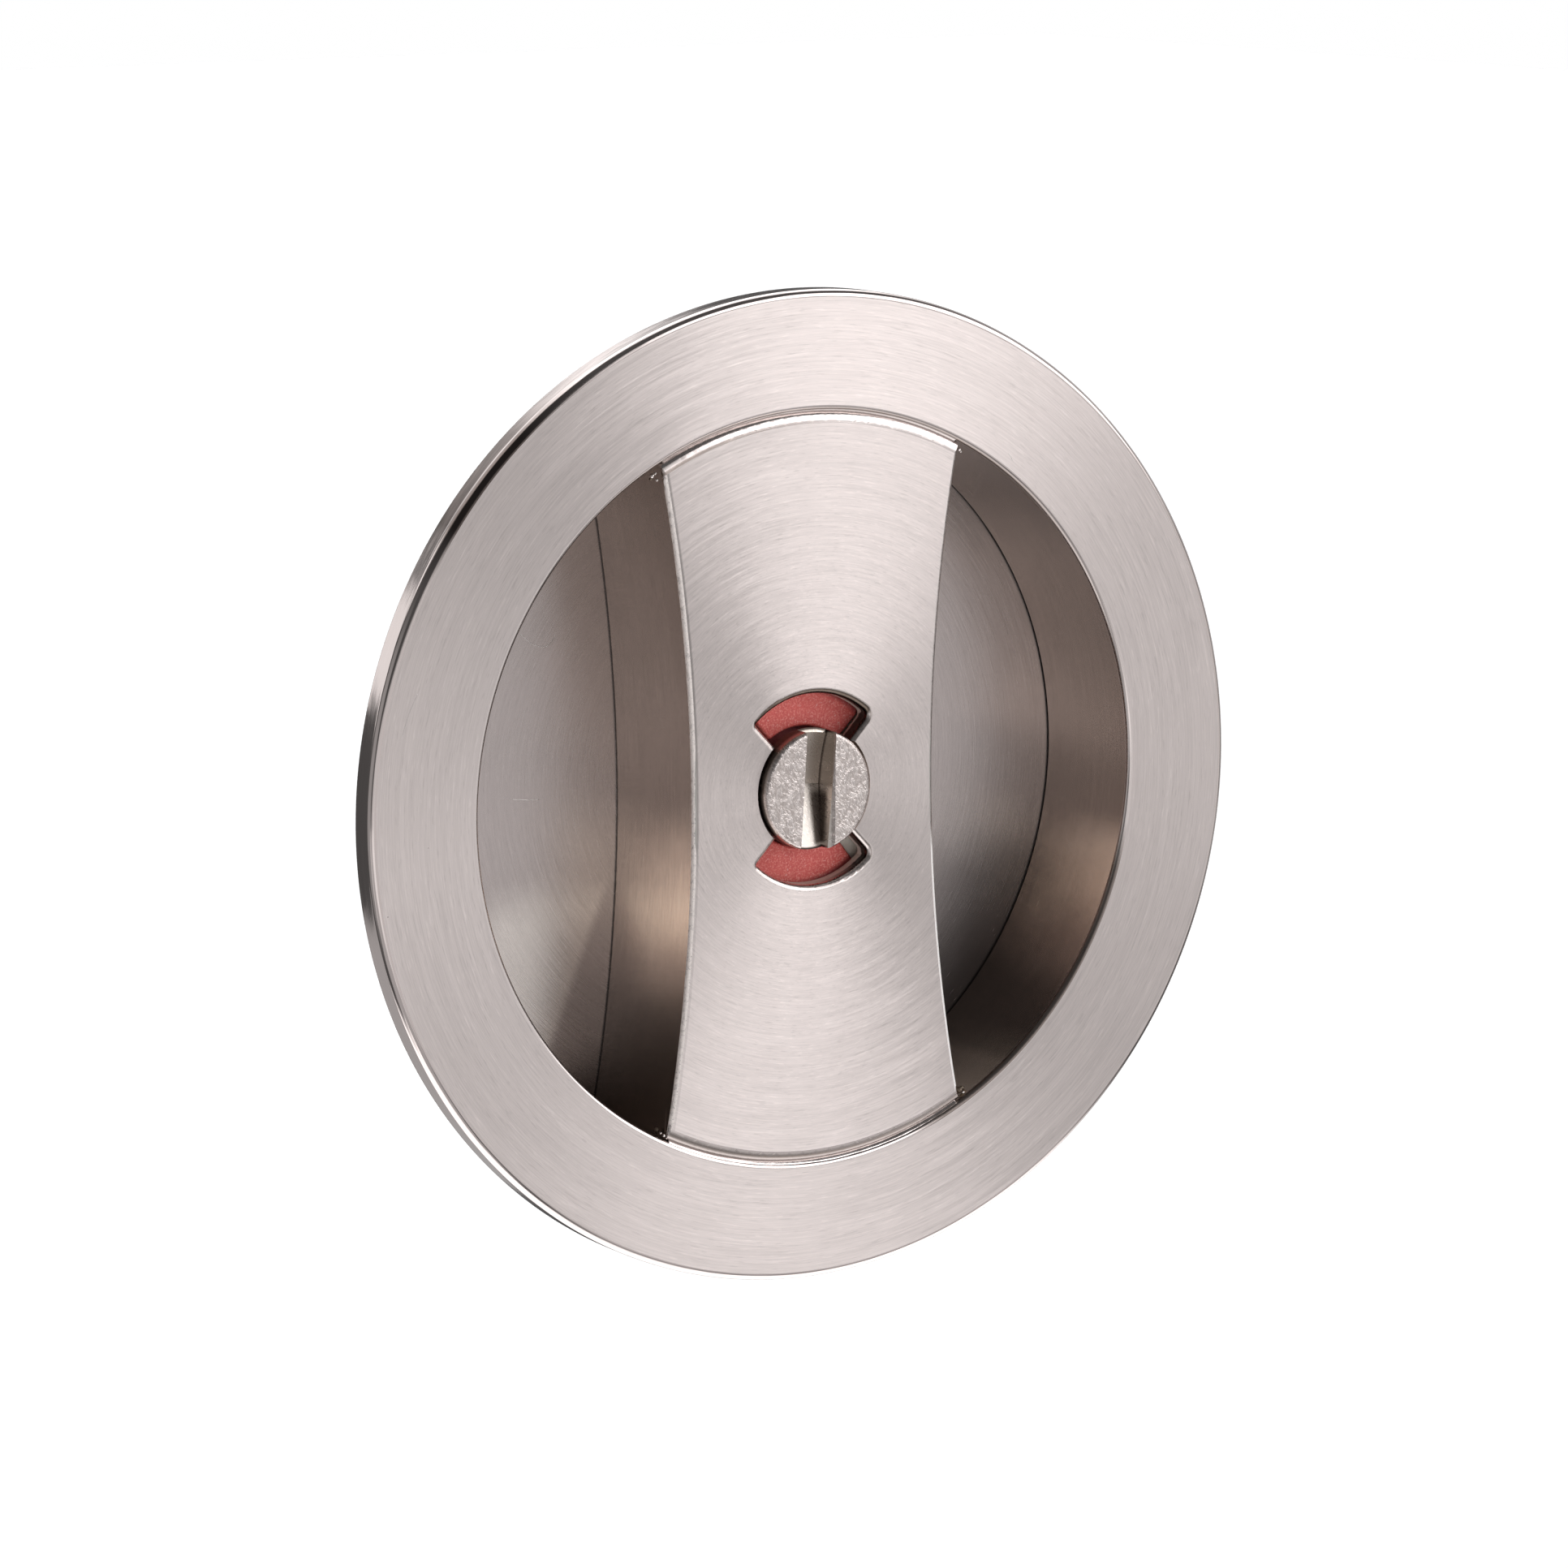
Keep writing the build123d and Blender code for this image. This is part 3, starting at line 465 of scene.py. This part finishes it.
def window_round(name):
    """Broad round of the windows, with a thin line of painted dark reflection in it."""
    g = Graph(name)
    p = g.point()
    nx, ny, nz = g.split(g.normal())
    r, c, s, depth = g.ring(p)
    grain = g.noise(p, 3.0, 3.0, 0.6)
    # Painted dark reflection: a thin dark line along the round, between its two highlights.
    ragged = g.math("ADD", depth, g.math("MULTIPLY", g.math("SUBTRACT", grain, 0.5), 0.012))
    line = g.math("MULTIPLY", g.span(ragged, -1.984, -1.974), g.span(ragged, -1.958, -1.948, 1.0, 0.0))
    base = g.mix(g.span(grain, 0.35, 0.65), (0.66, 0.59, 0.565, 1), (0.78, 0.70, 0.68, 1))
    base = g.mix(g.math("MULTIPLY", line, 0.6), base, (0.26, 0.21, 0.185, 1))
    # Painted shade: brown along the upper arc, which faces down.
    left = g.math("MULTIPLY", g.span(nz, -0.26, -0.06, 1.0, 0.0), g.span(s, 0.3, 0.5))
    base = g.mix(left, base, (0.15, 0.118, 0.098, 1))
    base = g.mix(g.span(depth, -1.70, -1.60), base, (0.34, 0.285, 0.25, 1))
    # Painted shade: dark where it turns into the wall, on the sides that face left.
    steep = g.math("MULTIPLY", g.span(depth, -1.88, -1.76), g.span(nx, -0.55, -0.15, 1.0, 0.0))
    base = g.mix(steep, base, (0.055, 0.044, 0.038, 1))
    g.shader(
        Base_Color=base,
        Metallic=1.0,
        Roughness=g.span(grain, 0.3, 0.7, 0.24, 0.34),
        Normal=g.bump(grain, 0.000008, 0.8),
    )
    return g.material


def matte_disc(name):
    """Dull grey disc behind the flag."""
    g = Graph(name)
    p = g.point()
    grain = g.noise(p, 6.0, 4.0, 0.6)
    cloud = g.noise(p, 1.4, 3.0, 0.6)
    base = g.mix(g.span(cloud, 0.35, 0.65), (0.90, 0.80, 0.70, 1), (0.98, 0.90, 0.81, 1))
    g.shader(
        Base_Color=base,
        Metallic=0.0,
        Roughness=g.span(grain, 0.3, 0.7, 0.45, 0.62),
        Normal=g.bump(grain, 0.00004, 0.9),
    )
    return g.material


def worn_edge_with_sheen(name, colour, rough):
    """Narrow edge broken by hand: grey, with small nicks along it."""
    g = Graph(name)
    p = g.point()
    x, y, z = g.split(p)
    nick = g.noise(p, 3.0, 4.0, 0.65)
    fine = g.noise(p, 11.0, 2.0, 0.6)
    base = g.mix(g.span(nick, 0.35, 0.65), tuple(v * 0.72 for v in colour) + (1,), tuple(colour) + (1,))
    # Painted highlight: near-white and less metallic along the lower right edge.
    pale = g.math("MULTIPLY", g.span(x, 0.0, 1.0), g.span(g.math("ADD", z, nick), -4.5, -2.8, 1.0, 0.0))
    base = g.mix(pale, base, (0.97, 0.93, 0.91, 1))
    # And all along the left one, less so in its nicks, as a painted highlight.
    left = g.math("MULTIPLY", g.span(x, -1.0, 0.0, 1.0, 0.0), g.span(nick, 0.36, 0.5, 0.5, 0.85))
    base = g.mix(left, base, (0.98, 0.89, 0.85, 1))
    pale = g.math("MAXIMUM", pale, left)
    g.shader(
        Base_Color=base,
        Metallic=g.math("SUBTRACT", 1.0, g.math("MULTIPLY", pale, 0.85)),
        Roughness=g.span(fine, 0.3, 0.7, rough - 0.05, rough + 0.08),
        Normal=g.bump(g.math("ADD", nick, g.math("MULTIPLY", fine, 0.3)), 0.000018, 0.9),
    )
    return g.material


def plain_metal(name, colour, rough, grain_scale=2.0, depth=0.000004):
    g = Graph(name)
    p = g.point()
    grain = g.noise(p, grain_scale, 4.0, 0.55)
    cloud = g.noise(p, 0.35, 2.0, 0.5)
    dark = tuple(v * 0.86 for v in colour) + (1.0,)
    light = tuple(min(v * 1.08, 1.0) for v in colour) + (1.0,)
    g.shader(
        Base_Color=g.mix(cloud, dark, light),
        Metallic=1.0,
        Roughness=g.span(grain, 0.3, 0.7, rough - 0.05, rough + 0.07),
        Normal=g.bump(grain, depth, 0.6),
    )
    return g.material


FACE = brushed("nickel_face")
BRIDGE_FACE = brushed("nickel_bridge_face", edge_line=True)
WINDOW_EDGE = window_round("window_edge")
WINDOW_WALL = window_wall("window_wall")
SIDE_EDGE = worn_edge_with_sheen("side_edge", (0.66, 0.595, 0.575), 0.30)
WALL = brushed("nickel_wall", SHADED_RECESS_NICKEL, 0.22, contrast=0.8, painted_light="wall")
FLOOR = brushed("nickel_floor", SHADED_FLOOR_NICKEL, 0.24, contrast=0.7, painted_light="floor")
SIDE = brushed("nickel_side", SHADED_RECESS_NICKEL, 0.22, marks="up", contrast=0.9, corner_line=True, painted_light="side")
RIM = polished("nickel_rim", (0.70, 0.62, 0.60), rim=True)
BEAD = polished("nickel_bead", rough=0.17, shade=True)
BACK = as_cast("nickel_back", (0.6, 0.57, 0.54))
# Near-black, on the groove at the foot of the cup wall and on the small pits.
SEAM = as_cast("seam_dark", (0.09, 0.065, 0.05), 0.6, 0.00002)
CRUD = as_cast("dried_polish", (0.34, 0.27, 0.215), 0.55, 0.00003)
SCRATCH = as_cast("scratch_burr", (0.92, 0.88, 0.86), 0.3, 0.000004)
BEAD_BIT = as_cast("plating_bit", (0.80, 0.73, 0.70), 0.2, 0.00001)

MATERIALS = {
    "cup_floor": FLOOR,
    "coin_turn": coin_metal("nickel_cast"),
    "indicator_flag": red_paint("red_paint"),
    "indicator_disc": matte_disc("bare_disc"),
    "wave_washer": plain_metal("spring_steel", (0.35, 0.35, 0.36), 0.3),
    "turn_bushing": plain_metal("brass", (0.72, 0.52, 0.26), 0.3),
    "bearing_plate": plain_metal("zinc_plate", (0.6, 0.61, 0.63), 0.34),
}
for extra in ("bearing_screws", "tailpiece", "post_washers", "fixing_post_upper", "fixing_post_lower"):
    MATERIALS[extra] = MATERIALS["bearing_plate"]
for extra in ("retaining_clip", "tailpiece_pin"):
    MATERIALS[extra] = MATERIALS["wave_washer"]
for name, material in MATERIALS.items():
    node = nodes[name]
    for i in range(len(node.material_slots)):
        node.material_slots[i].material = material


# ------------------------------------------------------------------ ring
# The turned profile of the CAD ring, with rounds fine enough to mirror in.
def arc(cx, cy, radius, a0, a1, steps):
    made = []
    for i in range(steps + 1):
        a = math.radians(a0 + (a1 - a0) * i / steps)
        made.append((cx + radius * math.cos(a), cy + radius * math.sin(a), math.cos(a), math.sin(a)))
    return made


def straight(a, b, steps=1):
    """Points from a to b with the normal to the left of the run."""
    dx, dy = b[0] - a[0], b[1] - a[1]
    size = math.hypot(dx, dy)
    nx, ny = dy / size, -dx / size
    return [(a[0] + dx * i / steps, a[1] + dy * i / steps, nx, ny) for i in range(steps + 1)]


RING_SEGMENTS = 720
wall_tan = math.tan(math.radians(2.0))
wall_back = 25.35 - wall_tan * (9.6 - 0.36)
# Buffing left the ring's face a hair lower at its rim than at the cup.
FACE_LEAN = math.radians(1.9)
lean = (math.sin(FACE_LEAN), -math.cos(FACE_LEAN))
ring_runs = [
    (FACE, [(x, y) + lean for x, y, nx, ny in straight((25.71, -2.0), (32.85, -2.0), 4)]),
    (RIM, arc(32.85, -1.5, 0.5, -90, 0, 10)),
    (RIM, straight((33.35, -1.5), (33.35, -0.12), 2)),
    (RIM, arc(33.23, -0.12, 0.12, 0, 90, 3)),
    (BACK, straight((33.23, 0.0), (26.95, 0.0), 2)),
    (BACK, [(26.95 - 0.25 * math.sin(t), 0.25 - 0.25 * math.cos(t), math.sin(t), math.cos(t)) for t in (0.0, 0.52, 1.05, 1.5708)]),
    (BACK, straight((26.7, 0.25), (26.7, 9.1), 3)),
    (BACK, straight((26.7, 9.1), (26.4, 9.4))),
    (BACK, straight((26.4, 9.4), (25.3, 9.4))),
    (BACK, straight((25.3, 9.4), (25.3, 9.0))),
    (BACK, straight((25.3, 9.0), (25.9, 9.0))),
    (BACK, straight((25.9, 9.0), (25.9, 7.6))),
    (SEAM, straight((25.9, 7.6), (25.24, 7.6))),
    (SEAM, straight((25.24, 7.6), (25.24, 7.44))),
    (SEAM, straight((25.24, 7.44), (wall_back + 0.006, 7.44))),
    (WALL, straight((wall_back + 0.006, 7.44), (25.35, -1.64), 6)),
    (BEAD, arc(25.71, -1.64, 0.36, 180, 270, 8)),
]


def revolve(name, runs, segments):
    """One closed turned solid with exact normals, joined where runs meet."""
    verts, faces, normals, kinds, materials = [], [], [], [], []
    points = []
    index_of = {}

    def row(px, py):
        key = (round(px, 5), round(py, 5))
        if key not in index_of:
            index_of[key] = len(points)
            points.append(key)
        return index_of[key]

    strips = []
    for material, run in runs:
        if material not in materials:
            materials.append(material)
        for a, b in zip(run, run[1:]):
            strips.append((row(a[0], a[1]), row(b[0], b[1]), a, b, materials.index(material)))
    for k in range(segments):
        t = 2 * math.pi * k / segments
        for px, py in points:
            verts.append((px * math.cos(t) * MM, py * MM, px * math.sin(t) * MM))
    count = len(points)
    for k in range(segments):
        nxt = (k + 1) % segments
        t0, t1 = 2 * math.pi * k / segments, 2 * math.pi * (k + 1) / segments
        for i, j, a, b, kind in strips:
            faces.append((k * count + i, k * count + j, nxt * count + j, nxt * count + i))
            for where, t in ((a, t0), (b, t0), (b, t1), (a, t1)):
                normals.append((where[2] * math.cos(t), where[3], where[2] * math.sin(t)))
            kinds.append(kind)
    mesh = bpy.data.meshes.new(name)
    mesh.from_pydata(verts, [], faces)
    for material in materials:
        mesh.materials.append(material)
    for poly, kind in zip(mesh.polygons, kinds):
        poly.material_index = kind
        poly.use_smooth = True
    # Faces whose corners run against their normals are turned over together.
    first = mesh.polygons[0]
    if first.normal.dot(Vector(normals[0])) < 0:
        mesh.flip_normals()
        fixed = []
        for i in range(0, len(normals), 4):
            quad = normals[i:i + 4]
            fixed.extend((quad[0], quad[3], quad[2], quad[1]))
        normals = fixed
    mesh.normals_split_custom_set(normals)
    mesh.validate(clean_customdata=False)
    thing = bpy.data.objects.new(name, mesh)
    scene.collection.objects.link(thing)
    return thing


ring = revolve("ring_turned", ring_runs, RING_SEGMENTS)
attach(ring, "trim")
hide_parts("rose_ring")

# ------------------------------------------------------------------ bridge
# The CAD bridge's own faces, sorted by how each surface was finished.
bridge_mesh = nodes["bridge"].data.copy()
bridge_mesh.name = "bridge_finished"
bridge_mesh.materials.clear()
for material in (BRIDGE_FACE, SIDE, BEAD, BACK, WINDOW_EDGE, WINDOW_WALL, SIDE_EDGE):
    bridge_mesh.materials.append(material)
for poly in bridge_mesh.polygons:
    centre = poly.center * 1000
    reach = math.hypot(centre.x, centre.z)
    n = poly.normal
    deepest = max(bridge_mesh.vertices[i].co.y for i in poly.vertices) * 1000
    if deepest < -1.9995:
        kind = 0
    elif reach < 8.0 and deepest < -1.565:
        kind = 4
    elif reach < 8.0 and centre.y < -0.605:
        kind = 5
    elif reach > 24.3 and centre.y < -1.4:
        kind = 2
    elif abs(centre.x) > 9.2 and centre.y < -1.7:
        kind = 6
    elif abs(n.x) > 0.6 and abs(centre.x) > 9.0:
        kind = 1
    else:
        kind = 3
    poly.material_index = kind
bridge = bpy.data.objects.new("bridge_finished", bridge_mesh)
scene.collection.objects.link(bridge)
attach(bridge, "trim")
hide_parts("bridge")

# ------------------------------------------------------------------ seam
# Polish and plating nearly close the groove between the bridge's ends and the
# ring: a thin uneven fillet along each end.
rng = random.Random(7)


def sweep(name, rails, material):
    """Closed tubes, each a list of rows of points in millimetres."""
    verts, faces = [], []
    for rows in rails:
        start, across = len(verts), len(rows[0])
        for row in rows:
            verts.extend(Vector(v) * MM for v in row)
        for i in range(len(rows) - 1):
            for j in range(across):
                k = (j + 1) % across
                a, b = start + i * across, start + (i + 1) * across
                faces.append((a + j, a + k, b + k, b + j))
        faces.append(tuple(start + j for j in reversed(range(across))))
        faces.append(tuple(start + (len(rows) - 1) * across + j for j in range(across)))
    mesh = bpy.data.meshes.new(name)
    mesh.from_pydata(verts, [], faces)
    mesh.materials.append(material)
    shape = bmesh.new()
    shape.from_mesh(mesh)
    bmesh.ops.recalc_face_normals(shape, faces=shape.faces)
    shape.to_mesh(mesh)
    shape.free()
    for poly in mesh.polygons:
        poly.use_smooth = True
    thing = bpy.data.objects.new(name, mesh)
    scene.collection.objects.link(thing)
    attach(thing, "trim")
    return thing


fillet_run = [(25.16, -1.655), (25.22, -1.715), (25.30, -1.775), (25.38, -1.835), (25.46, -1.88), (25.50, -1.87), (25.40, -1.60)]
rails = []
for end, reach in ((90, 26.6), (-90, 26.6)):
    rows = []
    drift = 0.0
    for i in range(241):
        a = math.radians(end - reach + 2 * reach * i / 240)
        drift = drift * 0.9 + rng.uniform(-0.004, 0.004)
        rows.append([(r * math.cos(a), y + drift * (y < -1.65), r * math.sin(a)) for r, y in fillet_run])
    rails.append(rows)
sweep("seam_fillet", rails, BEAD)


# Marks of wear: fine scratches on the cup floor and the
# ring, as thin raised burrs.
def burr(points, y, radius):
    """A thin half-sunk thread through points (x, z) on a plane at depth y."""
    rows = []
    for i, (x, z) in enumerate(points):
        a, b = points[max(i - 1, 0)], points[min(i + 1, len(points) - 1)]
        run = Vector((b[0] - a[0], 0.0, b[1] - a[1])).normalized()
        side = Vector((run.z, 0.0, -run.x))
        thin = radius * (0.35 if i in (0, len(points) - 1) else 1.0)
        rows.append([Vector((x, y, z)) + side * (thin * math.cos(t)) + Vector((0, -thin * 0.8 * math.sin(t), 0)) for t in (k * math.pi / 3 for k in range(6))])
    return rows


def curve(points, steps=6):
    """Points through the given ones, rounded off."""
    made = []
    for i in range(len(points) - 1):
        p0, p1 = points[max(i - 1, 0)], points[i]
        p2, p3 = points[i + 1], points[min(i + 2, len(points) - 1)]
        for k in range(steps):
            t = k / steps
            made.append(tuple(
                0.5 * (2 * b + (c - a) * t + (2 * a - 5 * b + 4 * c - d) * t * t + (3 * b - a - 3 * c + d) * t ** 3)
                for a, b, c, d in zip(p0, p1, p2, p3)
            ))
    made.append(points[-1])
    return made


scratches = [
    burr(curve([(-16.97, 10.74), (-16.06, 9.96), (-15.02, 9.66), (-14.39, 10.15), (-14.26, 10.63)]), 7.6, 0.022),
    burr(curve([(-17.74, -0.37), (-16.7, -0.50), (-15.59, -0.58)]), 7.6, 0.025),
    burr(curve([(15.45, 21.55), (15.61, 21.35), (15.80, 21.02)]), -2.0, 0.02),
    burr(curve([(-30.9, 6.2), (-30.4, 7.6), (-29.7, 9.0)]), -2.0, 0.012),
]
sweep("scratches", scratches, SCRATCH)


# Small bits of plating and crumbs of dried polish in the corners.
def crumb(centre, size, flat=1.0, turn=0.0):
    shape = bmesh.new()
    bmesh.ops.create_icosphere(shape, subdivisions=2, radius=size)
    push = [rng.uniform(0.72, 1.18) for _ in range(12)]
    for i, v in enumerate(shape.verts):
        k = push[i] if i < 12 else 0.5 * (push[i % 12] + push[(i * 5) % 12])
        v.co = Vector((v.co.x * k, v.co.y * k * flat, v.co.z * k))
    bmesh.ops.rotate(shape, verts=shape.verts, matrix=Matrix.Rotation(turn, 3, "Y"))
    bmesh.ops.translate(shape, verts=shape.verts, vec=Vector(centre))
    bmesh.ops.scale(shape, verts=shape.verts, vec=Vector((MM, MM, MM)))
    mesh = bpy.data.meshes.new("crumb")
    shape.to_mesh(mesh)
    shape.free()
    verts = [v.co.copy() for v in mesh.vertices]
    faces = [tuple(poly.vertices) for poly in mesh.polygons]
    bpy.data.meshes.remove(mesh)
    return verts, faces


def bits(name, list_of, material):
    verts, faces = [], []
    for part_verts, part_faces in list_of:
        start = len(verts)
        verts.extend(part_verts)
        faces.extend(tuple(start + i for i in face) for face in part_faces)
    mesh = bpy.data.meshes.new(name)
    mesh.from_pydata(verts, [], faces)
    mesh.materials.append(material)
    for poly in mesh.polygons:
        poly.use_smooth = True
    thing = bpy.data.objects.new(name, mesh)
    scene.collection.objects.link(thing)
    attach(thing, "trim")


bits("plating_bits", [
    crumb((-12.10, -1.72, 21.80), 0.17),
    crumb((-11.86, -1.70, 21.95), 0.11),
    crumb((-11.72, -1.66, 21.50), 0.10),
    crumb((-11.66, -1.74, -22.22), 0.13),
    crumb((-11.84, -1.60, -22.05), 0.11),
    crumb((11.70, -1.70, 22.00), 0.12),
    crumb((11.86, -1.62, 21.86), 0.09),
    crumb((12.0, -1.66, -22.10), 0.12),
], BEAD_BIT)
bits("polish_crumbs", [
    crumb((11.95, -1.20, -22.0), 0.24),
    crumb((12.30, -1.00, -21.95), 0.18),
    crumb((11.80, -0.65, -21.75), 0.15),
    crumb((-11.95, -1.30, 21.55), 0.14),
    crumb((-11.80, -1.00, -21.95), 0.16),
], CRUD)
bits("casting_pits", [
    crumb((24.32, 3.9, 7.3), 0.06),
    crumb((24.83, 5.0, 4.3), 0.05),
    crumb((24.96, 2.9, -3.7), 0.06),
    crumb((-9.86, 7.3, 15.1), 0.09),
    crumb((-9.78, 7.35, 12.6), 0.08),
    crumb((-9.62, 7.4, 9.2), 0.06),
    crumb((-9.52, 7.42, -7.2), 0.08),
    crumb((-29.10, -1.99, -1.11), 0.035, 0.5),
    crumb((-32.11, -1.99, -5.31), 0.04, 0.5),
], SEAM)

# ------------------------------------------------------------------ floor
FLOOR_Z = -0.30
floor_mesh = bpy.data.meshes.new("studio_floor")
floor_mesh.from_pydata([(-4, -4, FLOOR_Z), (4, -4, FLOOR_Z), (4, 6, FLOOR_Z), (-4, 6, FLOOR_Z)], [], [(0, 1, 2, 3)])
floor = bpy.data.objects.new("studio_floor", floor_mesh)
scene.collection.objects.link(floor)
g = Graph("pale_floor")
g.shader(
    Base_Color=(0.93, 0.93, 0.93, 1.0),
    Roughness=0.9,
    Emission_Color=(1.0, 1.0, 1.0, 1.0),
    Emission_Strength=0.25,
)
g.material.cycles.emission_sampling = "NONE"
floor_mesh.materials.append(g.material)
floor.visible_glossy = False

# ------------------------------------------------------------------ surroundings
# Soft boxes: a direction, a width, a height and a soft edge in
# degrees, and a strength.
LAMPS = [
    ("key, right and above", (0.69, -0.61, 0.41), 51, 29, 14, 3.15),
    ("overhead, behind", (0.0, 0.75, 1.0), 80, 50, 20, 2.2),
    ("pale table below", (0.1, 0.1, -1.0), 100, 84, 12, 1.7),
    ("wide front", (0.30, -0.94, -0.16), 110, 34, 16, 0.66),
    ("table, front left", (-0.45, -0.60, -0.44), 60, 42, 3, 0.42),
    ("table, behind left", (-0.25, 0.85, -0.60), 60, 30, 3, 0.38),
    ("strip behind left", (-0.50, 0.84, 0.20), 40, 13, 3, 1.0),
    ("left", (-1.0, -0.1, 0.0), 50, 50, 20, 0.30),
    ("behind right", (0.9, 0.4, 0.1), 50, 50, 25, 0.5),
    ("low front right", (0.5, -0.6, -0.62), 40, 30, 12, 0.3),
]
AMBIENT = 0.09

world = bpy.data.worlds.new("studio")
scene.world = world
world.use_nodes = True


def light_world(lamps, ambient):
    g = Graph("studio", world.node_tree)
    direction = g.vec("NORMALIZE", g.add("ShaderNodeTexCoord").outputs["Generated"])
    total = ambient
    for label, where, wide, tall, edge, strength in lamps:
        unit = Vector(where).normalized()
        level = unit.cross(Vector((0, 0, 1)))
        level = level.normalized() if level.length > 0.2 else Vector((1, 0, 0))
        level = (level - unit * level.dot(unit)).normalized()
        upright = level.cross(unit)
        ahead = g.vec("DOT_PRODUCT", direction, tuple(unit))
        safe = g.math("MAXIMUM", ahead, 0.001)
        mask = g.math("GREATER_THAN", ahead, 0.01)
        for axis, size in ((level, wide), (upright, tall)):
            run = g.math("DIVIDE", g.vec("DOT_PRODUCT", direction, tuple(axis)), safe)
            run = g.math("ABSOLUTE", run)
            inner = math.tan(math.radians(max(size - edge, 1) / 2))
            outer = math.tan(math.radians(min(size + edge, 170) / 2))
            mask = g.math("MULTIPLY", mask, g.span(run, inner, outer, 1.0, 0.0, smooth=True))
        total = g.math("ADD", total, g.math("MULTIPLY", mask, strength))
    glow = g.add("ShaderNodeBackground")
    g.put(glow.inputs["Strength"], total)
    glow.inputs["Color"].default_value = (1, 1, 1, 1)
    white = g.add("ShaderNodeBackground")
    white.inputs["Color"].default_value = (1, 1, 1, 1)
    seen = g.add("ShaderNodeLightPath").outputs["Is Camera Ray"]
    mix = g.add("ShaderNodeMixShader")
    g.put(mix.inputs[0], seen)
    g.tree.links.new(glow.outputs[0], mix.inputs[1])
    g.tree.links.new(white.outputs[0], mix.inputs[2])
    out = g.add("ShaderNodeOutputWorld")
    g.tree.links.new(mix.outputs[0], out.inputs[0])


light_world(LAMPS, AMBIENT)
